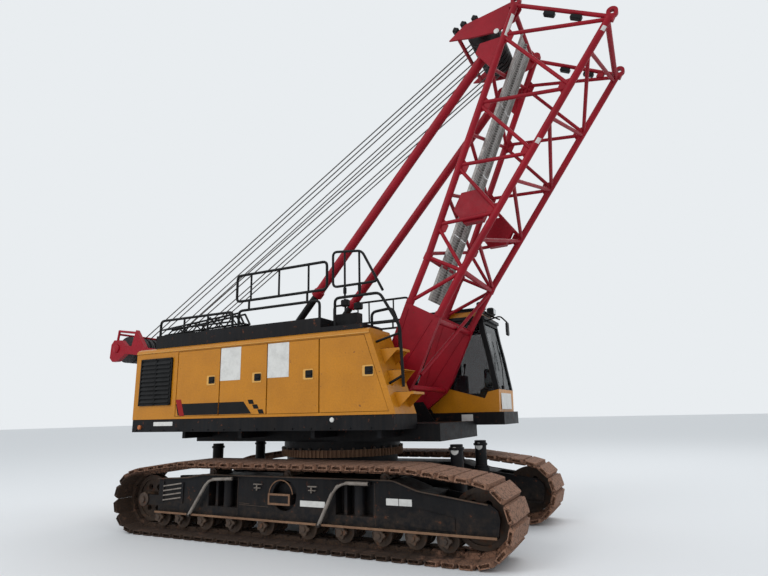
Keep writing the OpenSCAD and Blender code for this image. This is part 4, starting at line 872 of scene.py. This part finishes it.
# Backstops: a collar where the red tube begins
low_pin, high_pin = np.array([-0.95, 0, 2.6]), np.array([2.827, 0, 6.836])
collar = [(1.19, 0.055), (1.19, 0.086), (1.215, 0.09), (1.29, 0.09), (1.3, 0.078), (1.33, 0.072),
          (1.33, 0.055)]
for side, y in (("right", -0.545), ("left", 0.545)):
    round_tube = turned(collar, low_pin + [0, y, 0], high_pin - low_pin, loop=True)
    fitted("backstop_collar_" + side, [round_tube], "backstop_tube_" + side, "boom_red")

# Gantry: end caps on the sheave pin and ribs along the legs
caps = [turned([(y, 0.075), (y + out, 0.075), (y + 1.5 * out, 0.05)], (GANTRY_LEN, 0, 0))
        for y, out in ((-0.76, -0.02), (0.76, 0.02))]
ribs = [standing([(0.3, -0.05), (3.6, -0.05), (3.6, -0.038), (0.3, -0.038)], y) for y in (-0.765, 0.765)]
fitted("gantry_caps", placed(caps + ribs, on_gantry), "gantry", "boom_red")

# Cab: console, boxes, pedals and levers
console = [brick(*box, edge) for box, edge in (
    ((1.05, 1.6, 0.86, 1.0, 1.7, 2.28), 0.02), ((1.05, 1.6, 1.5, 1.62, 1.7, 2.26), 0.02),
    ((2.0, 2.22, 0.9, 1.6, 1.7, 2.0), 0.03), ((1.95, 2.03, 1.36, 1.6, 2.0, 2.34), 0.02),
    ((0.82, 1.0, 0.9, 1.6, 1.7, 2.06), 0.02))]
knob = [(2.39, 0.01), (2.41, 0.024), (2.45, 0.026), (2.47, 0.012)]
for x, y in ((1.42, 0.93), (1.54, 0.93), (1.42, 1.56), (1.54, 1.56)):
    console += [tube([[x, y, 2.26], [x + 0.02, y, 2.4]], 0.009, 10), turned(knob, (x + 0.02, y, 0), UP, 16)]
console += [brick(2.02, 2.16, y, y + 0.09, 2.0, 2.03, 0.006) for y in (1.05, 1.3)]
fitted("cab_console", console, "upper", "trim_black")


def before_screen(y, z, gap):
    """A point at y and z, a gap before the windscreen, whose x is straight between the heights listed."""
    return np.interp(z, [1.985, 2.53, 2.83, 3.04], [2.345, 2.255, 2.195, 2.16]) + gap, y, z


# Cab: wiper and mirror
arm = [before_screen(1.02, 2.02, 0.02), before_screen(1.16, 2.3, 0.035), before_screen(1.3, 2.6, 0.02)]
blade = [before_screen(1.3 - 0.02, 2.6 - 0.3, 0.008), before_screen(1.3 + 0.02, 2.6 + 0.2, 0.008)]
foot_x = before_screen(0, 2.0, 0)[0]
trims_and_roof_shade = [tube(rounded(arm, 0.2), 0.006, 8), tube(blade, 0.006, 8),
         brick(foot_x - 0.01, foot_x + 0.03, 0.99, 1.05, 1.98, 2.04, 0.008),
         tube(rounded([(2.16, 0.9, 3.07), (2.42, 0.88, 3.13), (2.52, 0.88, 3.02)], 0.05), 0.012, 10),
         slab(round_rect(0.82, 0.94, 2.8, 3.02, 0.03), yz, 2.51, 2.54, 0.01)]
# Cab: a black gutter round the roof, guard bars over its front, its lamps, and a black cover over the yellow
# roof that is painted shade
gutter = round_rect(0.725, 2.175, 0.785, 1.715, 0.03)
trims_and_roof_shade.append(strip(np.stack([np.column_stack([inset(gutter, d), np.full(len(gutter), z)])
                             for d, z in ((0.02, 3.092), (-0.008, 3.1), (-0.008, 3.15), (0.02, 3.16))])))
trims_and_roof_shade += [post(x, y, 3.225, 3.29, 0.012, 8) for x in (1.0, 2.0) for y in (0.86, 1.64)]
trims_and_roof_shade += [tube(rounded([(0.95, y, 3.29), (2.05, y, 3.29), (2.22, y, 3.2)], 0.1), 0.014, 10)
          for y in (0.86, 1.25, 1.64)]
trims_and_roof_shade += [tube([[x, 0.86, 3.29], [x, 1.64, 3.29]], 0.014, 10) for x in (1.0, 1.5, 2.0)]
trims_and_roof_shade += [brick(2.04, 2.16, y - 0.09, y + 0.09, 3.27, 3.4, 0.02) for y in (0.95, 1.55)]
# Painted shade: a black sheet over the yellow roof, which lies in shade
trims_and_roof_shade.append(brick(0.9, 2.08, 0.85, 1.65, 3.222, 3.285, 0.02))
fitted("cab_trims", trims_and_roof_shade, "upper", "trim_black")
lenses = [slab(round_rect(y - 0.07, y + 0.07, 3.29, 3.38, 0.012), yz, 2.16, 2.167, 0.002)
          for y in (0.95, 1.55)]
# The mirror's face: pale grey in the lamp lenses' finish, a painted reflection of the sky
lenses.append(slab(round_rect(0.83, 0.93, 2.81, 3.01, 0.025), yz, 2.504, 2.511, 0.002))
fitted("cab_lenses_and_painted_mirror", lenses, "upper", "machinery_grey", stuff=lamp_lens)
plates = [slab(round_rect(0.91, 1.53, 1.67, 1.92, 0.01), yz, 2.341, 2.345, 0.001),
          plate_on(1.72, 1.904, 1.475, 1.6, 0.78)]
fitted("cab_plates", plates, "upper", "body_yellow", stuff=white_plate)

# Cab: black rubber round the side glass, and its upright bar
glass = [(0.86, 2.02), (1.365, 2.02), (2.105, 1.81), (2.15, 1.91), (2.27, 1.94), (2.175, 2.53), (2.115, 2.83),
         (2.08, 3.04), (0.86, 3.04)]
rubber = [tube(rounded(at_y(0.812, glass + glass[:2]), 0.03)[1:-1], 0.011, 8),
          post(1.5, 0.815, 1.99, 3.04, 0.014, 8)]
fitted("glass_rubber", rubber, "upper", "trim_black", stuff=hose_rubber)


def cushion(name, low, high, crown):
    """A crowned pad: a box whose sides pull in, |x|^n + |y|^n + |z|^n = 1 with n = 5, swollen by cloth under
    pressure by at most its crown."""
    low, high = np.array(low), np.array(high)
    u = np.linspace(-np.pi / 2, np.pi / 2, 25)[:, None]
    v = (np.arange(48) / 48 * 2 * np.pi)[None]
    way = np.stack([np.cos(u) * np.cos(v), np.cos(u) * np.sin(v), np.sin(u) + 0 * v], -1)[1:-1]
    way = way / (np.abs(way) ** 5).sum(-1, keepdims=True) ** 0.2
    made = piece(name, [strip(way * (high - low) / 2 * 0.96 + (low + high) / 2)], seat_cloth, 180)
    swell(made, crown)
    return made


def swell(made, cap):
    """Remesh, blow up with cloth under pressure for 20 frames, and scale the moves by cap / the longest."""
    scene = bpy.context.scene
    bpy.context.view_layer.objects.active = made
    made.select_set(True)
    made.modifiers.new("even", "REMESH").voxel_size = 0.012
    bpy.ops.object.modifier_apply(modifier="even")
    before = np.empty(len(made.data.vertices) * 3)
    made.data.vertices.foreach_get("co", before)
    cloth = made.modifiers.new("pad", "CLOTH")
    cloth.settings.use_pressure = True
    cloth.settings.uniform_pressure_force = 4
    cloth.settings.effector_weights.gravity = 0
    for frame_no in range(1, 21):
        scene.frame_set(frame_no)
    after = np.empty_like(before)
    made.evaluated_get(bpy.context.evaluated_depsgraph_get()).data.vertices.foreach_get("co", after)
    made.modifiers.remove(cloth)
    move = (after - before).reshape(-1, 3)
    move *= min(1.0, cap / np.linalg.norm(move, axis=1).max())
    made.data.vertices.foreach_set("co", before + move.ravel())
    made.data.polygons.foreach_set("use_smooth", np.ones(len(made.data.polygons), bool))
    made.data.update()
    made.select_set(False)
    scene.frame_set(1)


# Seat: two pads and their frame
pads = [cushion("seat_pad", (1.08, 1.04, 2.0), (1.54, 1.47, 2.11), 0.014),
        cushion("seat_back_pad", (1.02, 1.05, 2.14), (1.12, 1.46, 2.64), 0.014)]
for pad in pads:
    carried(pad, "upper", "trim_black", "cab_seat")
seat = [brick(1.1, 1.5, 1.08, 1.43, 1.91, 1.99, 0.01), brick(1.2, 1.4, 1.15, 1.36, 1.7, 1.91, 0.01),
        brick(1.0, 1.02, 1.1, 1.41, 2.0, 2.62, 0.006)]
seat += [brick(1.15, 1.5, y, y + 0.05, 2.2, 2.24, 0.012) for y in (0.99, 1.47)]
fitted("seat_frame", seat, "upper", "trim_black")

# Floor, light and world
pale, t = blank("pale_floor")
shader = add(t, "BsdfPrincipled", {"Base Color": "dfe1e3", "Roughness": 0.9})
add(t, "OutputMaterial", {0: shader[0]})
corners = np.array([[[x, y, 0] for x in (-FLOOR, FLOOR)] for y in (-FLOOR, FLOOR)], float)
piece("floor", [strip(corners, around=False)], pale, closed=False)

world = bpy.data.worlds.new("sky")
bpy.context.scene.world = world
world.use_nodes = True
t = world.node_tree
t.nodes.clear()
path = add(t, "LightPath")
seen = add(t, "Math", {0: path["Is Camera Ray"], 1: path["Is Glossy Ray"]}, operation="MAXIMUM")
seen = add(t, "Math", {0: seen[0], 1: path["Is Transmission Ray"]}, operation="MAXIMUM")
lit = add(t, "Background", {"Color": "e9edf0", "Strength": 0.95})
shown = add(t, "Background", {"Color": "e9edf0", "Strength": 1.0})
both = add(t, "MixShader", {0: seen[0], 1: lit[0], 2: shown[0]})
add(t, "OutputWorld", {"Surface": both[0]})

for name, place, aim, power, size in (
        ("key", (-6, -16, 14), (0, 0, 3), 1100, 9), ("sky_light", (6, 10, 18), (0, 0, 3), 900, 12)):
    data = bpy.data.lights.new(name, "AREA")
    data.energy = power
    data.size = size
    lamp = bpy.data.objects.new(name, data)
    bpy.context.scene.collection.objects.link(lamp)
    away = unit(np.subtract(place, aim))
    left = unit(np.cross([0, 0, 1.0], away))
    m = np.eye(4)
    m[:3, 0], m[:3, 1], m[:3, 2], m[:3, 3] = left, np.cross(away, left), away, place
    lamp.matrix_world = Matrix(m.tolist())

bpy.context.scene.view_settings.view_transform = "Standard"
